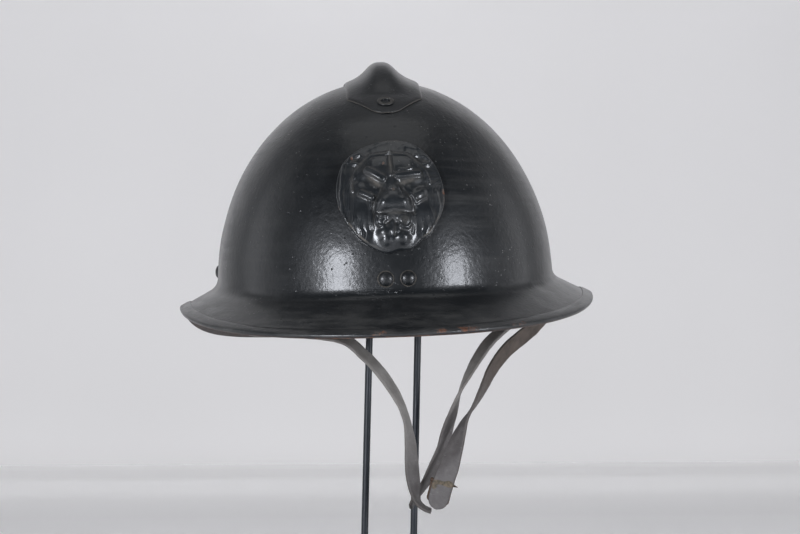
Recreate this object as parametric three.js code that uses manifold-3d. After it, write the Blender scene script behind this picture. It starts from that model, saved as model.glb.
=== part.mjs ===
// A pressed-steel combed helmet of the 1920s and 1930s on a plain two-rod display stand.
// Millimetres, +Z up. The origin is the middle of the stand's foot, on the surface that it stands on.
// The helmet faces -Y. It is modelled level in its own frame, whose origin is the middle of the dome at its
// widest level, and is then set on the stand with the small tilt that it has on display.
import * as THREE from "three";
import { mergeVertices } from "three/addons/utils/BufferGeometryUtils.js";
import Module from "manifold-3d";

const wasm = await Module();
wasm.setup();

const degrees = THREE.MathUtils.degToRad;

// Steel and clearances
const shellSteel = 1.0;
const combSteel = 0.8;
const edgingSteel = 0.5;
const gap = 0.3;
const hollowGap = 0.8;

// Dome, from its widest level up to the crown
const domeHalfWidth = 94.2;
const domeFront = 108;
const domeRear = 113;
const domeRise = 112.2;

// Brim: how far it reaches out from the dome, where it leaves the dome, and how far it falls from there
const sideReach = 20.5;
const visorReach = 35;
const neckReach = 34;
const visorDip = 13;
const neckDip = 7.5;
const sideFall = 10.7;
const visorFall = 19.5;
const neckFall = 19.3;
const brimFillet = 8.5;
const visorSweep = 1.2;
const neckSweep = 3.2;
const sideEase = 0.07;
const edgingWidth = 5.5;

// Comb over the crown. Its length and rivets are given as angles from the crown, front and rear alike
const combHalfWidth = 20.3;
const combOffset = 1;
const combRise = 9.8;
const combRidgeHalfWidth = 8.8;
const combTip = 40.7;
const combShoulder = 30.2;
const combTipHalfWidth = 5.5;
const combFoot = 30.7;
const eyeletAngle = 35.4;

// Eyelets that hold the comb
const eyeletBore = 2.4;
const eyeletBarrel = 3;
const eyeletLip = 4.4;
const eyeletLipRise = 0.9;

// Lion's head badge
const badgeAngle = 69.3;
const badgeHalfWidth = 27.5;
const badgeHalfHeight = 32.2;
const badgeSteel = 1.2;
const badgeCrown = 3.2;

// Domed rivets, in pairs at the front, the rear and each side
const rivetHead = 3.8;
const rivetHeadRise = 2.3;
const rivetShank = 1.5;
const rivetSpacing = 11.4;
const visorRivetLevel = -4.3;
const visorRivetAside = 1.1;
const neckRivetLevel = 5;
const sideRivetLevel = 8.5;
const sideRivetSetback = 16;

// Brackets inside the sides, from which the chin strap hangs
const bracketHalfWidth = 10;
const bracketTop = 12;
const bracketSteel = 2;
const bracketBar = 3;
const bracketBarLevel = -10.5;

// Chin strap
const strapWidth = 12;
const strapLeather = 1.8;
const strapDrop = 120;
const strapForward = 32;
const strapSlack = 0.4;

// Buckle
const buckleHalfWidth = 6.6;
const buckleHalfHeight = 6.4;
const buckleBar = 1.8;
const buckleSteel = 1.5;
const buckleAside = 1.5;
const prongRadius = 1.1;

// Stand
const standWidth = 150;
const standDepth = 120;
const standPlate = 6;
const rodRadius = 2;
const rodSpacing = 28.3;
const rodAside = 0.65;
const rodSetback = 12;
const rodSocket = 4;
const saddleRadius = 30;
const saddleThickness = 4;
const saddleAcross = 12.3;
const saddleBack = 7;

// How the helmet sits on the stand
const helmetLevel = 177.7;
const helmetAside = -1.5;
const helmetRoll = 2.1;
const helmetPitch = 3;

// Materials
const finish = (color, roughness, metalness) => new THREE.MeshStandardMaterial({ color, roughness, metalness });
const blackPaint = finish(0x1c1f20, 0.35, 0.2);
const leather = finish(0x6d6259, 0.8, 0);
const rustySteel = finish(0x6a4f3c, 0.7, 0.5);
const standPaint = finish(0x232a30, 0.5, 0.3);

// Mesh building

// Joins rings of points into a closed skin. The ends are closed by a fan to the mean of the end ring or, with
// wrap, the last ring joins the first.
function loft(rings, { wrap = false } = {}) {
  const count = rings[0].length;
  const points = rings.flat();
  const faces = [];
  const bands = wrap ? rings.length : rings.length - 1;
  for (let i = 0; i < bands; i++) {
    const here = i * count;
    const next = ((i + 1) % rings.length) * count;
    for (let j = 0; j < count; j++) {
      const k = (j + 1) % count;
      faces.push([here + j, here + k, next + k], [here + j, next + k, next + j]);
    }
  }
  if (!wrap) {
    for (const [start, turn] of [[0, 1], [(rings.length - 1) * count, 0]]) {
      const ring = points.slice(start, start + count);
      const middle = ring.reduce((sum, p) => sum.add(p), new THREE.Vector3()).divideScalar(count);
      const pole = points.push(middle) - 1;
      for (let j = 0; j < count; j++) {
        const k = (j + 1) % count;
        faces.push(turn ? [pole, start + k, start + j] : [pole, start + j, start + k]);
      }
    }
  }
  return skin(points, faces);
}

// A geometry from points and triangles, turned so that its faces point outwards.
function skin(points, faces) {
  let volume = 0;
  for (const [a, b, c] of faces) {
    volume += points[a].dot(new THREE.Vector3().crossVectors(points[b], points[c]));
  }
  const turned = volume < 0 ? faces.map(([a, b, c]) => [a, c, b]) : faces;
  const geometry = new THREE.BufferGeometry();
  geometry.setAttribute("position", new THREE.Float32BufferAttribute(points.flatMap((p) => [p.x, p.y, p.z]), 3));
  geometry.setIndex(turned.flat());
  return mergeVertices(geometry, 1e-4);
}

function toSolid(geometry) {
  const plain = geometry.clone();
  plain.deleteAttribute("normal");
  plain.deleteAttribute("uv");
  const merged = mergeVertices(plain, 1e-4);
  return new wasm.Manifold(
    new wasm.Mesh({
      numProp: 3,
      vertProperties: new Float32Array(merged.attributes.position.array),
      triVerts: new Uint32Array(merged.index.array),
    }),
  );
}

function toGeometry(solid) {
  const mesh = solid.getMesh();
  const geometry = new THREE.BufferGeometry();
  geometry.setAttribute("position", new THREE.BufferAttribute(mesh.vertProperties, 3));
  geometry.setIndex(new THREE.BufferAttribute(mesh.triVerts, 1));
  return geometry;
}

function cut(geometry, tools) {
  return toGeometry(tools.reduce((solid, tool) => solid.subtract(toSolid(tool)), toSolid(geometry)));
}

// A cylinder from one point to another.
function rodBetween(from, to, radius, sides = 12) {
  const along = to.clone().sub(from);
  const rod = new THREE.CylinderGeometry(radius, radius, along.length(), sides);
  const turn = new THREE.Quaternion().setFromUnitVectors(new THREE.Vector3(0, 1, 0), along.clone().normalize());
  return rod.applyQuaternion(turn).translate(...from.clone().add(to).multiplyScalar(0.5).toArray());
}

// Turns a shape whose axis is +Y so that it stands on a surface point along the surface's normal.
function standOn({ point, normal }, geometry) {
  const turn = new THREE.Quaternion().setFromUnitVectors(new THREE.Vector3(0, 1, 0), normal);
  return geometry.applyQuaternion(turn).translate(point.x, point.y, point.z);
}

function lathe(profile, sides) {
  const shape = new THREE.LatheGeometry(profile.map(([r, h]) => new THREE.Vector2(r, h)), sides);
  shape.deleteAttribute("normal");
  shape.deleteAttribute("uv");
  const merged = mergeVertices(shape, 1e-4);
  const points = [];
  for (let i = 0; i < merged.attributes.position.count; i++) {
    points.push(new THREE.Vector3().fromBufferAttribute(merged.attributes.position, i));
  }
  const faces = [];
  for (let i = 0; i < merged.index.count; i += 3) {
    const face = [0, 1, 2].map((k) => merged.index.getX(i + k));
    if (new Set(face).size === 3) {
      faces.push(face);
    }
  }
  return skin(points, faces);
}

// The dome and the brim

const domeLength = (y) => (y < 0 ? domeFront : domeRear);

// The dome's outer surface above a place in plan, in the helmet's frame.
function domeAbove(x, y, lift = 0) {
  const b = domeLength(y);
  const z = domeRise * Math.sqrt(Math.max(0, 1 - (x / domeHalfWidth) ** 2 - (y / b) ** 2));
  const normal = new THREE.Vector3(x / domeHalfWidth ** 2, y / b ** 2, z / domeRise ** 2).normalize();
  return { point: new THREE.Vector3(x, y, z).addScaledVector(normal, lift), normal };
}

// The dome's surface on the way over its crown: an angle from the crown, negative to the front, and a distance
// out to the side.
function domeOver(angle, side, lift = 0) {
  const lean = Math.asin(side / domeHalfWidth);
  const b = domeLength(angle);
  return domeAbove(side, b * Math.sin(angle) * Math.cos(lean), lift);
}

// How much of the visor's or the neck guard's drop the brim has at an angle round the helmet.
function brimShares(turn) {
  const s = Math.sin(turn);
  const eased = (Math.hypot(s, sideEase) - sideEase) / (Math.hypot(1, sideEase) - sideEase);
  return {
    visor: s < 0 ? 1 - (1 - eased) ** visorSweep : 0,
    neck: s > 0 ? 1 - (1 - eased) ** neckSweep : 0,
  };
}

function brimValue(turn, side, visor, neck) {
  const share = brimShares(turn);
  return side + (visor - side) * share.visor + (neck - side) * share.neck;
}

// Where the brim leaves the dome, its edge, and the way down it, at an angle round the helmet.
function brimAt(turn) {
  const c = Math.cos(turn);
  const s = Math.sin(turn);
  const front = s < 0;
  const wall = new THREE.Vector2(domeHalfWidth * c, (front ? domeFront : domeRear) * s);
  const rim = new THREE.Vector2(
    (domeHalfWidth + sideReach) * c,
    (front ? domeFront + visorReach : domeRear + neckReach) * s,
  );
  const cornerLevel = -brimValue(turn, 0, visorDip, neckDip);
  const edgeLevel = cornerLevel - brimValue(turn, sideFall, visorFall, neckFall);
  const out = rim.clone().sub(wall);
  const slope = Math.atan2(cornerLevel - edgeLevel, out.length());
  out.normalize();
  const tangent = brimFillet * Math.tan((Math.PI / 2 - slope) / 2);
  return {
    wall,
    out,
    tangent,
    corner: new THREE.Vector3(wall.x, wall.y, cornerLevel),
    edge: new THREE.Vector3(rim.x, rim.y, edgeLevel),
    down: new THREE.Vector3(out.x * Math.cos(slope), out.y * Math.cos(slope), -Math.sin(slope)),
  };
}

// One line of the outer surface from near the crown, a small part of a step from it, to the brim's edge.
const crownStep = 0.15;
function shellLine(turn, domeSteps = 13, filletSteps = 3, brimSteps = 2) {
  const { wall, tangent, corner, edge, down } = brimAt(turn);
  const wallFoot = corner.z + tangent;
  const line = [];
  for (let i = 0; i <= domeSteps; i++) {
    const share = Math.max(i, crownStep) / domeSteps;
    const z = wallFoot + (domeRise - wallFoot) * Math.cos(share * (Math.PI / 2));
    const spread = Math.sqrt(Math.max(0, 1 - (Math.max(z, 0) / domeRise) ** 2));
    line.push(new THREE.Vector3(wall.x * spread, wall.y * spread, z));
  }
  const start = line[line.length - 1].clone();
  const end = corner.clone().addScaledVector(down, tangent);
  for (let i = 1; i <= filletSteps; i++) {
    line.push(new THREE.QuadraticBezierCurve3(start, corner, end).getPoint(i / filletSteps));
  }
  for (let i = 1; i <= brimSteps; i++) {
    line.push(end.clone().lerp(edge, i / brimSteps));
  }
  return line;
}

const shellTurns = 56;
const turnAt = (i) => (i / shellTurns) * Math.PI * 2;

function shellGeometry() {
  const lines = Array.from({ length: shellTurns }, (_, i) => shellLine(turnAt(i)));
  const rows = lines[0].length;
  const outer = Array.from({ length: rows }, (_, r) => lines.map((line) => line[r]));
  const crown = new THREE.Vector3(0, 0, domeRise);
  const inner = outer.map((ring, r) =>
    ring.map((p, j) => {
      const above = r > 0 ? outer[r - 1][j] : crown;
      const below = r < rows - 1 ? outer[r + 1][j] : p;
      const left = ring[(j + shellTurns - 1) % shellTurns];
      const right = ring[(j + 1) % shellTurns];
      const normal = new THREE.Vector3()
        .crossVectors(right.clone().sub(left), above.clone().sub(below))
        .normalize();
      return p.clone().addScaledVector(normal, -shellSteel);
    }),
  );
  return loft([...outer, ...inner.reverse()]);
}

// The edging is a strip folded over the brim's edge: a C in section, open towards the dome.
function edgingGeometry() {
  const fold = gap + edgingSteel;
  const section = [
    [-edgingWidth, gap],
    [gap, gap],
    [gap, -shellSteel - gap],
    [-edgingWidth, -shellSteel - gap],
    [-edgingWidth, -shellSteel - fold],
    [fold, -shellSteel - fold],
    [fold, fold],
    [-edgingWidth, fold],
  ];
  const rings = Array.from({ length: shellTurns }, (_, i) => {
    const { edge, down } = brimAt(turnAt(i));
    const before = brimAt(turnAt(i - 1)).edge;
    const after = brimAt(turnAt(i + 1)).edge;
    const along = after.clone().sub(before).normalize();
    const up = new THREE.Vector3().crossVectors(along, down).normalize();
    if (up.z < 0) {
      up.negate();
    }
    return section.map(([out, rise]) => edge.clone().addScaledVector(down, out).addScaledVector(up, rise));
  });
  return loft(rings, { wrap: true });
}

// The comb

const angleIn = (share, from, to) => from + (to - from) * share;

// Half the comb's width at an angle from the crown: parallel sides that run in to a blunt tip.
function combHalfWidthAt(angle) {
  const a = Math.abs(angle);
  const shoulder = degrees(combShoulder);
  const tip = degrees(combTip);
  if (a <= shoulder) {
    return combHalfWidth;
  }
  const share = Math.min(1, (a - shoulder) / (tip - shoulder));
  return combHalfWidth + (combTipHalfWidth - combHalfWidth) * share;
}

// The pressed ridge's height over the flange.
function combRidge(angle, side) {
  const along = Math.min(1, Math.abs(angle) / degrees(combFoot));
  const across = Math.abs(side) / combRidgeHalfWidth;
  return (combRise * (1 - along ** 3) ** 1.5) / (1 + across ** 3);
}

function combGeometry() {
  const across = 10;
  const shoulder = degrees(combShoulder);
  const tip = degrees(combTip);
  const frontAngles = [0, 0.3, 0.6, 0.85, 1].map((share) => angleIn(share, -tip, -shoulder));
  const middle = Array.from({ length: 13 }, (_, i) => angleIn((i + 1) / 14, -shoulder, shoulder));
  const rearAngles = frontAngles.map((angle) => -angle).reverse();
  const rings = [...frontAngles, ...middle, ...rearAngles].map((angle) => {
    const half = combHalfWidthAt(angle);
    const sides = Array.from({ length: across + 1 }, (_, i) => angleIn(i / across, -half, half));
    const surface = (lift) =>
      sides.map((side) => domeOver(angle, side + combOffset, gap + lift + combRidge(angle, side)).point);
    return [...surface(combSteel), ...surface(0).reverse()];
  });
  return loft(rings);
}

// Eyelets and rivets, with the axis along +Y and the outer surface at height 0

const eyeletSeat = combSteel + 2 * gap;

function eyeletGeometry() {
  const inside = -shellSteel - hollowGap;
  return lathe(
    [
      [eyeletBore, inside - eyeletLipRise * 0.6],
      [eyeletLip * 0.9, inside - eyeletLipRise * 0.6],
      [eyeletLip * 0.9, inside],
      [eyeletBarrel, inside],
      [eyeletBarrel, eyeletSeat],
      [eyeletLip, eyeletSeat],
      [eyeletLip * 0.94, eyeletSeat + eyeletLipRise * 0.7],
      [eyeletLip * 0.8, eyeletSeat + eyeletLipRise],
      [eyeletBore * 1.15, eyeletSeat + eyeletLipRise * 0.8],
      [eyeletBore, eyeletSeat + eyeletLipRise * 0.3],
      [eyeletBore, inside - eyeletLipRise * 0.6],
    ],
    14,
  );
}

// A domed head outside, a shank through what it grips, and a spread tail inside.
function rivetGeometry(grip) {
  const tail = -grip - hollowGap;
  return lathe(
    [
      [0, tail - 1],
      [rivetShank * 1.7, tail - 1],
      [rivetShank * 1.7, tail],
      [rivetShank, tail],
      [rivetShank, gap],
      [rivetHead, gap],
      [rivetHead * 0.9, gap + rivetHeadRise * 0.45],
      [rivetHead * 0.55, gap + rivetHeadRise * 0.85],
      [0, gap + rivetHeadRise],
    ],
    10,
  );
}

// A point of the dome's wall at an angle round the helmet and a level on it.
function wallSeat(turn, level) {
  const b = Math.sin(turn) < 0 ? domeFront : domeRear;
  const share = Math.sqrt(1 - (Math.max(level, 0) / domeRise) ** 2);
  const x = domeHalfWidth * Math.cos(turn);
  const y = b * Math.sin(turn);
  const normal = new THREE.Vector3(x / domeHalfWidth ** 2, y / b ** 2, 0);
  normal.z = (Math.max(level, 0) / domeRise ** 2) * share;
  return { point: new THREE.Vector3(x * share, y * share, level), normal: normal.normalize() };
}

const quarter = Math.PI / 2;
const sideTurn = Math.asin(sideRivetSetback / domeRear);
const pairs = [
  { name: "front", turn: visorRivetAside / domeHalfWidth - quarter, level: visorRivetLevel, radius: domeHalfWidth, grip: shellSteel },
  { name: "rear", turn: quarter, level: neckRivetLevel, radius: domeHalfWidth, grip: shellSteel },
  { name: "left", turn: 2 * quarter - sideTurn, level: sideRivetLevel, radius: domeFront, grip: shellSteel + bracketSteel + 2 * gap },
  { name: "right", turn: sideTurn, level: sideRivetLevel, radius: domeFront, grip: shellSteel + bracketSteel + 2 * gap },
];

const rivets = pairs.flatMap(({ name, turn, level, radius, grip }) =>
  [-1, 1].map((side) => ({
    name: `rivet_${name}_${side < 0 ? "a" : "b"}`,
    seat: wallSeat(turn + (side * rivetSpacing) / 2 / radius, level),
    grip,
  })),
);

const eyelets = [
  { name: "comb_eyelet_front", seat: domeOver(-degrees(eyeletAngle), combOffset) },
  { name: "comb_eyelet_rear", seat: domeOver(degrees(eyeletAngle), combOffset) },
];

// A drill that runs along a seat's normal, well past what it has to go through.
function drill({ point, normal }, radius, reach = 12) {
  return rodBetween(point.clone().addScaledVector(normal, -reach), point.clone().addScaledVector(normal, reach), radius);
}

// The badge: a lion's head in relief. Its forms are bumps and hollows over the oval, in shares of its half
// width and half height, with a height in millimetres and a turn in degrees.
const badgeForms = [
  { form: "brow", u: -0.25, v: 0.5, wide: 0.22, tall: 0.14, turn: -18, rise: 2.3 },
  { form: "brow", u: 0.28, v: 0.5, wide: 0.22, tall: 0.14, turn: 18, rise: 2.3 },
  { form: "eye socket", u: -0.27, v: 0.26, wide: 0.19, tall: 0.07, turn: -30, rise: -1.6 },
  { form: "eye socket", u: 0.29, v: 0.25, wide: 0.19, tall: 0.07, turn: 28, rise: -1.6 },
  { form: "cheek", u: -0.44, v: 0.09, wide: 0.14, tall: 0.13, turn: -30, rise: 2.0 },
  { form: "cheek", u: 0.46, v: 0.07, wide: 0.14, tall: 0.13, turn: 30, rise: 2.0 },
  { form: "bridge", u: 0, v: 0.22, wide: 0.09, tall: 0.3, turn: 0, rise: 1.6 },
  { form: "nose", u: 0, v: -0.1, wide: 0.26, tall: 0.2, turn: 0, rise: 3.6 },
  { form: "nostril", u: -0.18, v: -0.16, wide: 0.09, tall: 0.09, turn: 0, rise: 0.9 },
  { form: "nostril", u: 0.2, v: -0.16, wide: 0.09, tall: 0.09, turn: 0, rise: 0.9 },
  { form: "lip", u: -0.2, v: -0.42, wide: 0.12, tall: 0.13, turn: 10, rise: 2.4 },
  { form: "lip", u: 0.22, v: -0.43, wide: 0.12, tall: 0.13, turn: -10, rise: 2.4 },
  { form: "mouth", u: 0, v: -0.45, wide: 0.07, tall: 0.12, turn: 0, rise: -1.4 },
  { form: "chin", u: -0.15, v: -0.7, wide: 0.13, tall: 0.13, turn: 20, rise: 2.0 },
  { form: "chin", u: 0.17, v: -0.72, wide: 0.13, tall: 0.13, turn: -20, rise: 2.0 },
  { form: "ear", u: -0.6, v: 0.66, wide: 0.12, tall: 0.09, turn: 25, rise: 1.6 },
  { form: "ear", u: 0.6, v: 0.64, wide: 0.12, tall: 0.09, turn: -25, rise: 1.6 },
];
const maneLocks = 22;
const maneLockRise = 0.45;

function badgeRelief(u, v) {
  const radius = Math.hypot(u, v);
  let height = badgeSteel + badgeCrown * (1 - radius ** 2);
  for (const { u: cu, v: cv, wide, tall, turn, rise } of badgeForms) {
    const c = Math.cos(degrees(turn));
    const s = Math.sin(degrees(turn));
    const along = ((u - cu) * c + (v - cv) * s) / wide;
    const across = ((v - cv) * c - (u - cu) * s) / tall;
    height += rise * Math.exp(-(along ** 2) - across ** 2);
  }
  const mane = THREE.MathUtils.smoothstep(radius, 0.6, 0.85);
  return height + mane * maneLockRise * Math.cos(maneLocks * Math.atan2(v, u));
}

function badgeGeometry() {
  const spokes = 40;
  const frontRings = 10;
  const backShares = [1, 0.7, 0.4, 0.1];
  const point = (share, spoke, lift) => {
    const turn = (spoke / spokes) * Math.PI * 2;
    const u = share * Math.cos(turn);
    const v = share * Math.sin(turn);
    const angle = -degrees(badgeAngle) + (v * badgeHalfHeight) / domeRise;
    return domeOver(angle, u * badgeHalfWidth, gap + lift(u, v)).point;
  };
  const ring = (share, lift) => Array.from({ length: spokes }, (_, spoke) => point(share, spoke, lift));
  const front = Array.from({ length: frontRings }, (_, i) => ring((i + 1) / frontRings, badgeRelief));
  const back = backShares.map((share) => ring(share, () => 0));
  return loft([...front, ...back]);
}

// Brackets for the strap. Each is modelled at the middle of its wall, with +X out through the wall, and is
// then set against the wall between its rivets.
const bracketSeat = wallSeat(sideTurn, 0);
const bracketBow = (bracketHalfWidth ** 2 / domeRear ** 2) * domeHalfWidth;
const bracketFace = -shellSteel - gap - bracketBow;
const bracketAngle = Math.atan2(bracketSeat.normal.y, bracketSeat.normal.x);

function placeBracket(side) {
  const place = new THREE.Matrix4().makeRotationZ(side > 0 ? bracketAngle : Math.PI - bracketAngle);
  return place.setPosition(side * bracketSeat.point.x, bracketSeat.point.y, 0);
}

const bracketMiddle = bracketSeat.point.x + bracketFace - bracketSteel / 2;
const bracketWindow = strapLeather + 2 * strapSlack + 1.4;

// A plate against the dome's wall, with a window over its bottom bar that the strap goes through.
function bracketGeometry() {
  const bottom = bracketBarLevel - bracketBar / 2;
  const windowHalf = strapWidth / 2 + 1;
  const half = Math.max(bracketHalfWidth, windowHalf + bracketBar);
  const plate = new THREE.Shape();
  plate.moveTo(-half, bottom);
  plate.lineTo(half, bottom);
  plate.lineTo(half, bracketTop - 3);
  plate.lineTo(half - 3, bracketTop);
  plate.lineTo(3 - half, bracketTop);
  plate.lineTo(-half, bracketTop - 3);
  const window = new THREE.Path();
  const sill = bracketBarLevel + bracketBar / 2;
  window.moveTo(-windowHalf, sill);
  window.lineTo(-windowHalf, sill + bracketWindow);
  window.lineTo(windowHalf, sill + bracketWindow);
  window.lineTo(windowHalf, sill);
  plate.holes.push(window);
  const flat = new THREE.ExtrudeGeometry(plate, { depth: bracketSteel, bevelEnabled: false });
  return flat.rotateX(quarter).rotateZ(quarter);
}

// The chin strap. Each row is a section of it: how far across, down and forward it lies, in shares of the
// bracket's distance from the middle, the strap's drop and its forward hang, and the twist of its width out of
// the fore-and-aft direction, in degrees.
const leftStrapRows = [
  { across: -1.04, down: 0.05, forward: 0.02, twist: 90 },
  { across: -1, down: 0.09, forward: 0.05, twist: 88 },
  { across: -0.86, down: 0.135, forward: 0.2, twist: 80 },
  { across: -0.62, down: 0.145, forward: 0.4, twist: 70 },
  { across: -0.271, down: 0.187, forward: 0.62, twist: 63 },
  { across: -0.159, down: 0.258, forward: 0.7, twist: 63 },
  { across: -0.065, down: 0.337, forward: 0.77, twist: 62 },
  { across: 0.022, down: 0.438, forward: 0.83, twist: 65 },
  { across: 0.075, down: 0.527, forward: 0.88, twist: 73 },
  { across: 0.097, down: 0.591, forward: 0.905, twist: 73 },
  { across: 0.109, down: 0.674, forward: 0.925, twist: 60 },
  { across: 0.111, down: 0.753, forward: 0.94, twist: 53 },
  { across: 0.115, down: 0.827, forward: 0.95, twist: 51 },
  { across: 0.121, down: 0.873, forward: 0.952, twist: 54 },
  { across: 0.129, down: 0.915, forward: 0.955, twist: 64 },
  { across: 0.144, down: 0.957, forward: 0.96, twist: 78 },
  { across: 0.177, down: 0.98, forward: 0.97, twist: 84 },
  { across: 0.219, down: 0.995, forward: 0.975, twist: 85 },
];
const outerStrapRows = [
  { across: 1.05, down: 0.06, forward: 0.02, twist: 90 },
  { across: 1.03, down: 0.11, forward: 0.05, twist: 92 },
  { across: 0.952, down: 0.159, forward: 0.15, twist: 100 },
  { across: 0.854, down: 0.209, forward: 0.28, twist: 109 },
  { across: 0.75, down: 0.267, forward: 0.43, twist: 113 },
  { across: 0.65, down: 0.352, forward: 0.61, twist: 112 },
  { across: 0.574, down: 0.448, forward: 0.76, twist: 102 },
  { across: 0.505, down: 0.529, forward: 0.87, twist: 82 },
  { across: 0.45, down: 0.588, forward: 0.92, twist: 62 },
  { across: 0.399, down: 0.673, forward: 0.985, twist: 36 },
  { across: 0.345, down: 0.787, forward: 1.03, twist: 24 },
  { across: 0.319, down: 0.832, forward: 1.045, twist: 20 },
  { across: 0.296, down: 0.877, forward: 1.055, twist: 18 },
  { across: 0.27, down: 0.931, forward: 1.06, twist: 17 },
  { across: 0.244, down: 0.986, forward: 1.06, twist: 17 },
];
const innerStrapRows = [
  { across: 0.95, down: 0.06, forward: 0.02, twist: 90 },
  { across: 0.87, down: 0.11, forward: 0.05, twist: 96 },
  { across: 0.757, down: 0.159, forward: 0.14, twist: 108 },
  { across: 0.653, down: 0.219, forward: 0.27, twist: 113 },
  { across: 0.564, down: 0.3, forward: 0.42, twist: 110 },
  { across: 0.483, down: 0.395, forward: 0.56, twist: 98 },
  { across: 0.434, down: 0.463, forward: 0.63, twist: 84 },
  { across: 0.396, down: 0.537, forward: 0.66, twist: 68 },
  { across: 0.348, down: 0.629, forward: 0.68, twist: 58 },
  { across: 0.31, down: 0.721, forward: 0.67, twist: 56 },
  { across: 0.26, down: 0.795, forward: 0.62, twist: 58 },
  { across: 0.228, down: 0.842, forward: 0.57, twist: 62 },
  { across: 0.195, down: 0.883, forward: 0.52, twist: 66 },
  { across: 0.165, down: 0.914, forward: 0.48, twist: 70 },
  { across: 0.141, down: 0.938, forward: 0.46, twist: 73 },
  { across: 0.12, down: 0.962, forward: 0.46, twist: 76 },
  { across: 0.103, down: 0.985, forward: 0.48, twist: 78 },
];

function strapPlace({ across, down, forward, twist }) {
  return {
    point: new THREE.Vector3(
      across * bracketMiddle,
      bracketSeat.point.y - forward * strapForward,
      bracketBarLevel - down * strapDrop,
    ),
    aft: new THREE.Vector3(0, 1, 0),
    twist,
  };
}

// The turn of the strap over a bracket's bar, from outside it to inside it.
const loopRadius = bracketSteel / 2 + strapSlack + strapLeather / 2;
function overBar(side) {
  const sill = bracketBarLevel + bracketBar / 2;
  const aft = new THREE.Vector3(0, side, 0).transformDirection(placeBracket(side));
  return [-1.6, -0.7, 0, 0.25, 0.5, 0.75, 1, 1.7, 2.6].map((share) => {
    const turn = THREE.MathUtils.clamp(share, 0, 1) * Math.PI;
    const below = (share < 0 ? -share : Math.max(0, share - 1)) * bracketBar;
    return {
      point: new THREE.Vector3(
        bracketFace - bracketSteel / 2 + loopRadius * Math.cos(turn),
        0,
        sill - 0.2 + loopRadius * Math.sin(turn) - below,
      ).applyMatrix4(placeBracket(side)),
      aft,
      twist: 90,
    };
  });
}

// A strap through its places, as sections with their own directions. Taper rounds off its last end.
function ribbonFrames(places, steps) {
  const curve = new THREE.CatmullRomCurve3(places.map(({ point }) => point), false, "centripetal");
  const last = places.length - 1;
  return Array.from({ length: steps + 1 }, (_, i) => {
    const share = i / steps;
    const at = Math.min(last - 1e-6, share * last);
    const row = Math.floor(at);
    const twist = degrees(THREE.MathUtils.lerp(places[row].twist, places[row + 1].twist, at - row));
    const along = curve.getTangent(share);
    const aft = places[row].aft.clone().lerp(places[row + 1].aft, at - row).normalize();
    const flat = new THREE.Vector3().crossVectors(along, aft).normalize();
    const deep = new THREE.Vector3().crossVectors(flat, along).normalize();
    const width = flat.multiplyScalar(Math.cos(twist)).addScaledVector(deep, Math.sin(twist));
    const face = new THREE.Vector3().crossVectors(along, width).normalize();
    return { point: curve.getPoint(share), along, width, face };
  });
}

function ribbonGeometry(frames, halfWidthAt) {
  const rings = frames.map(({ point, width, face }, i) => {
    const half = halfWidthAt(i / (frames.length - 1));
    return [[-1, -1], [1, -1], [1, 1], [-1, 1]].map(([across, through]) =>
      point
        .clone()
        .addScaledVector(width, across * half)
        .addScaledVector(face, (through * strapLeather) / 2),
    );
  });
  return loft(rings);
}

const leftFrames = ribbonFrames([...overBar(-1).reverse(), ...leftStrapRows.map(strapPlace)], 48);
const tongueRows = [...outerStrapRows].reverse().map(strapPlace);
const innerRows = innerStrapRows.map(strapPlace);
const rightFrames = ribbonFrames([...tongueRows, ...overBar(1), ...innerRows], 64);

const tongueEnd = 0.025;
const tongueHalfWidth = (share) =>
  (strapWidth / 2) * Math.sqrt(1 - Math.max(0, 1 - (share + 0.002) / tongueEnd) ** 2 * 0.96);

// The buckle lies behind the tongue, a little to its left, with its pin between them.
const buckleSeat = rightFrames[2];
const buckleBasis = new THREE.Matrix4().makeBasis(
  buckleSeat.width.clone(),
  buckleSeat.along.clone(),
  new THREE.Vector3().crossVectors(buckleSeat.width, buckleSeat.along).normalize(),
);

function placeOnTongue(geometry) {
  return geometry.applyMatrix4(buckleBasis).translate(...buckleSeat.point.toArray());
}

// 1 or -1, whichever turns the basis's third axis to the front.
const buckleFront = Math.sign(-new THREE.Vector3().setFromMatrixColumn(buckleBasis, 2).y);
const prongBehind = strapLeather / 2 + prongRadius + 2 * gap;

function buckleGeometry() {
  const frame = new THREE.Shape();
  const corner = buckleBar * 0.7;
  frame.moveTo(-buckleHalfWidth + corner, -buckleHalfHeight);
  frame.lineTo(buckleHalfWidth - corner, -buckleHalfHeight);
  frame.lineTo(buckleHalfWidth, -buckleHalfHeight + corner);
  frame.lineTo(buckleHalfWidth, buckleHalfHeight - corner);
  frame.lineTo(buckleHalfWidth - corner, buckleHalfHeight);
  frame.lineTo(-buckleHalfWidth + corner, buckleHalfHeight);
  frame.lineTo(-buckleHalfWidth, buckleHalfHeight - corner);
  frame.lineTo(-buckleHalfWidth, -buckleHalfHeight + corner);
  const window = new THREE.Path();
  const w = buckleHalfWidth - buckleBar;
  const h = buckleHalfHeight - buckleBar;
  window.moveTo(-w, -h);
  window.lineTo(-w, h);
  window.lineTo(w, h);
  window.lineTo(w, -h);
  frame.holes.push(window);
  const flat = new THREE.ExtrudeGeometry(frame, { depth: buckleSteel, bevelEnabled: false });
  const behind = prongBehind + prongRadius + gap + buckleSteel / 2;
  flat.translate(-buckleFront * buckleAside, 0, -buckleFront * behind - buckleSteel / 2);
  return placeOnTongue(flat);
}

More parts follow.
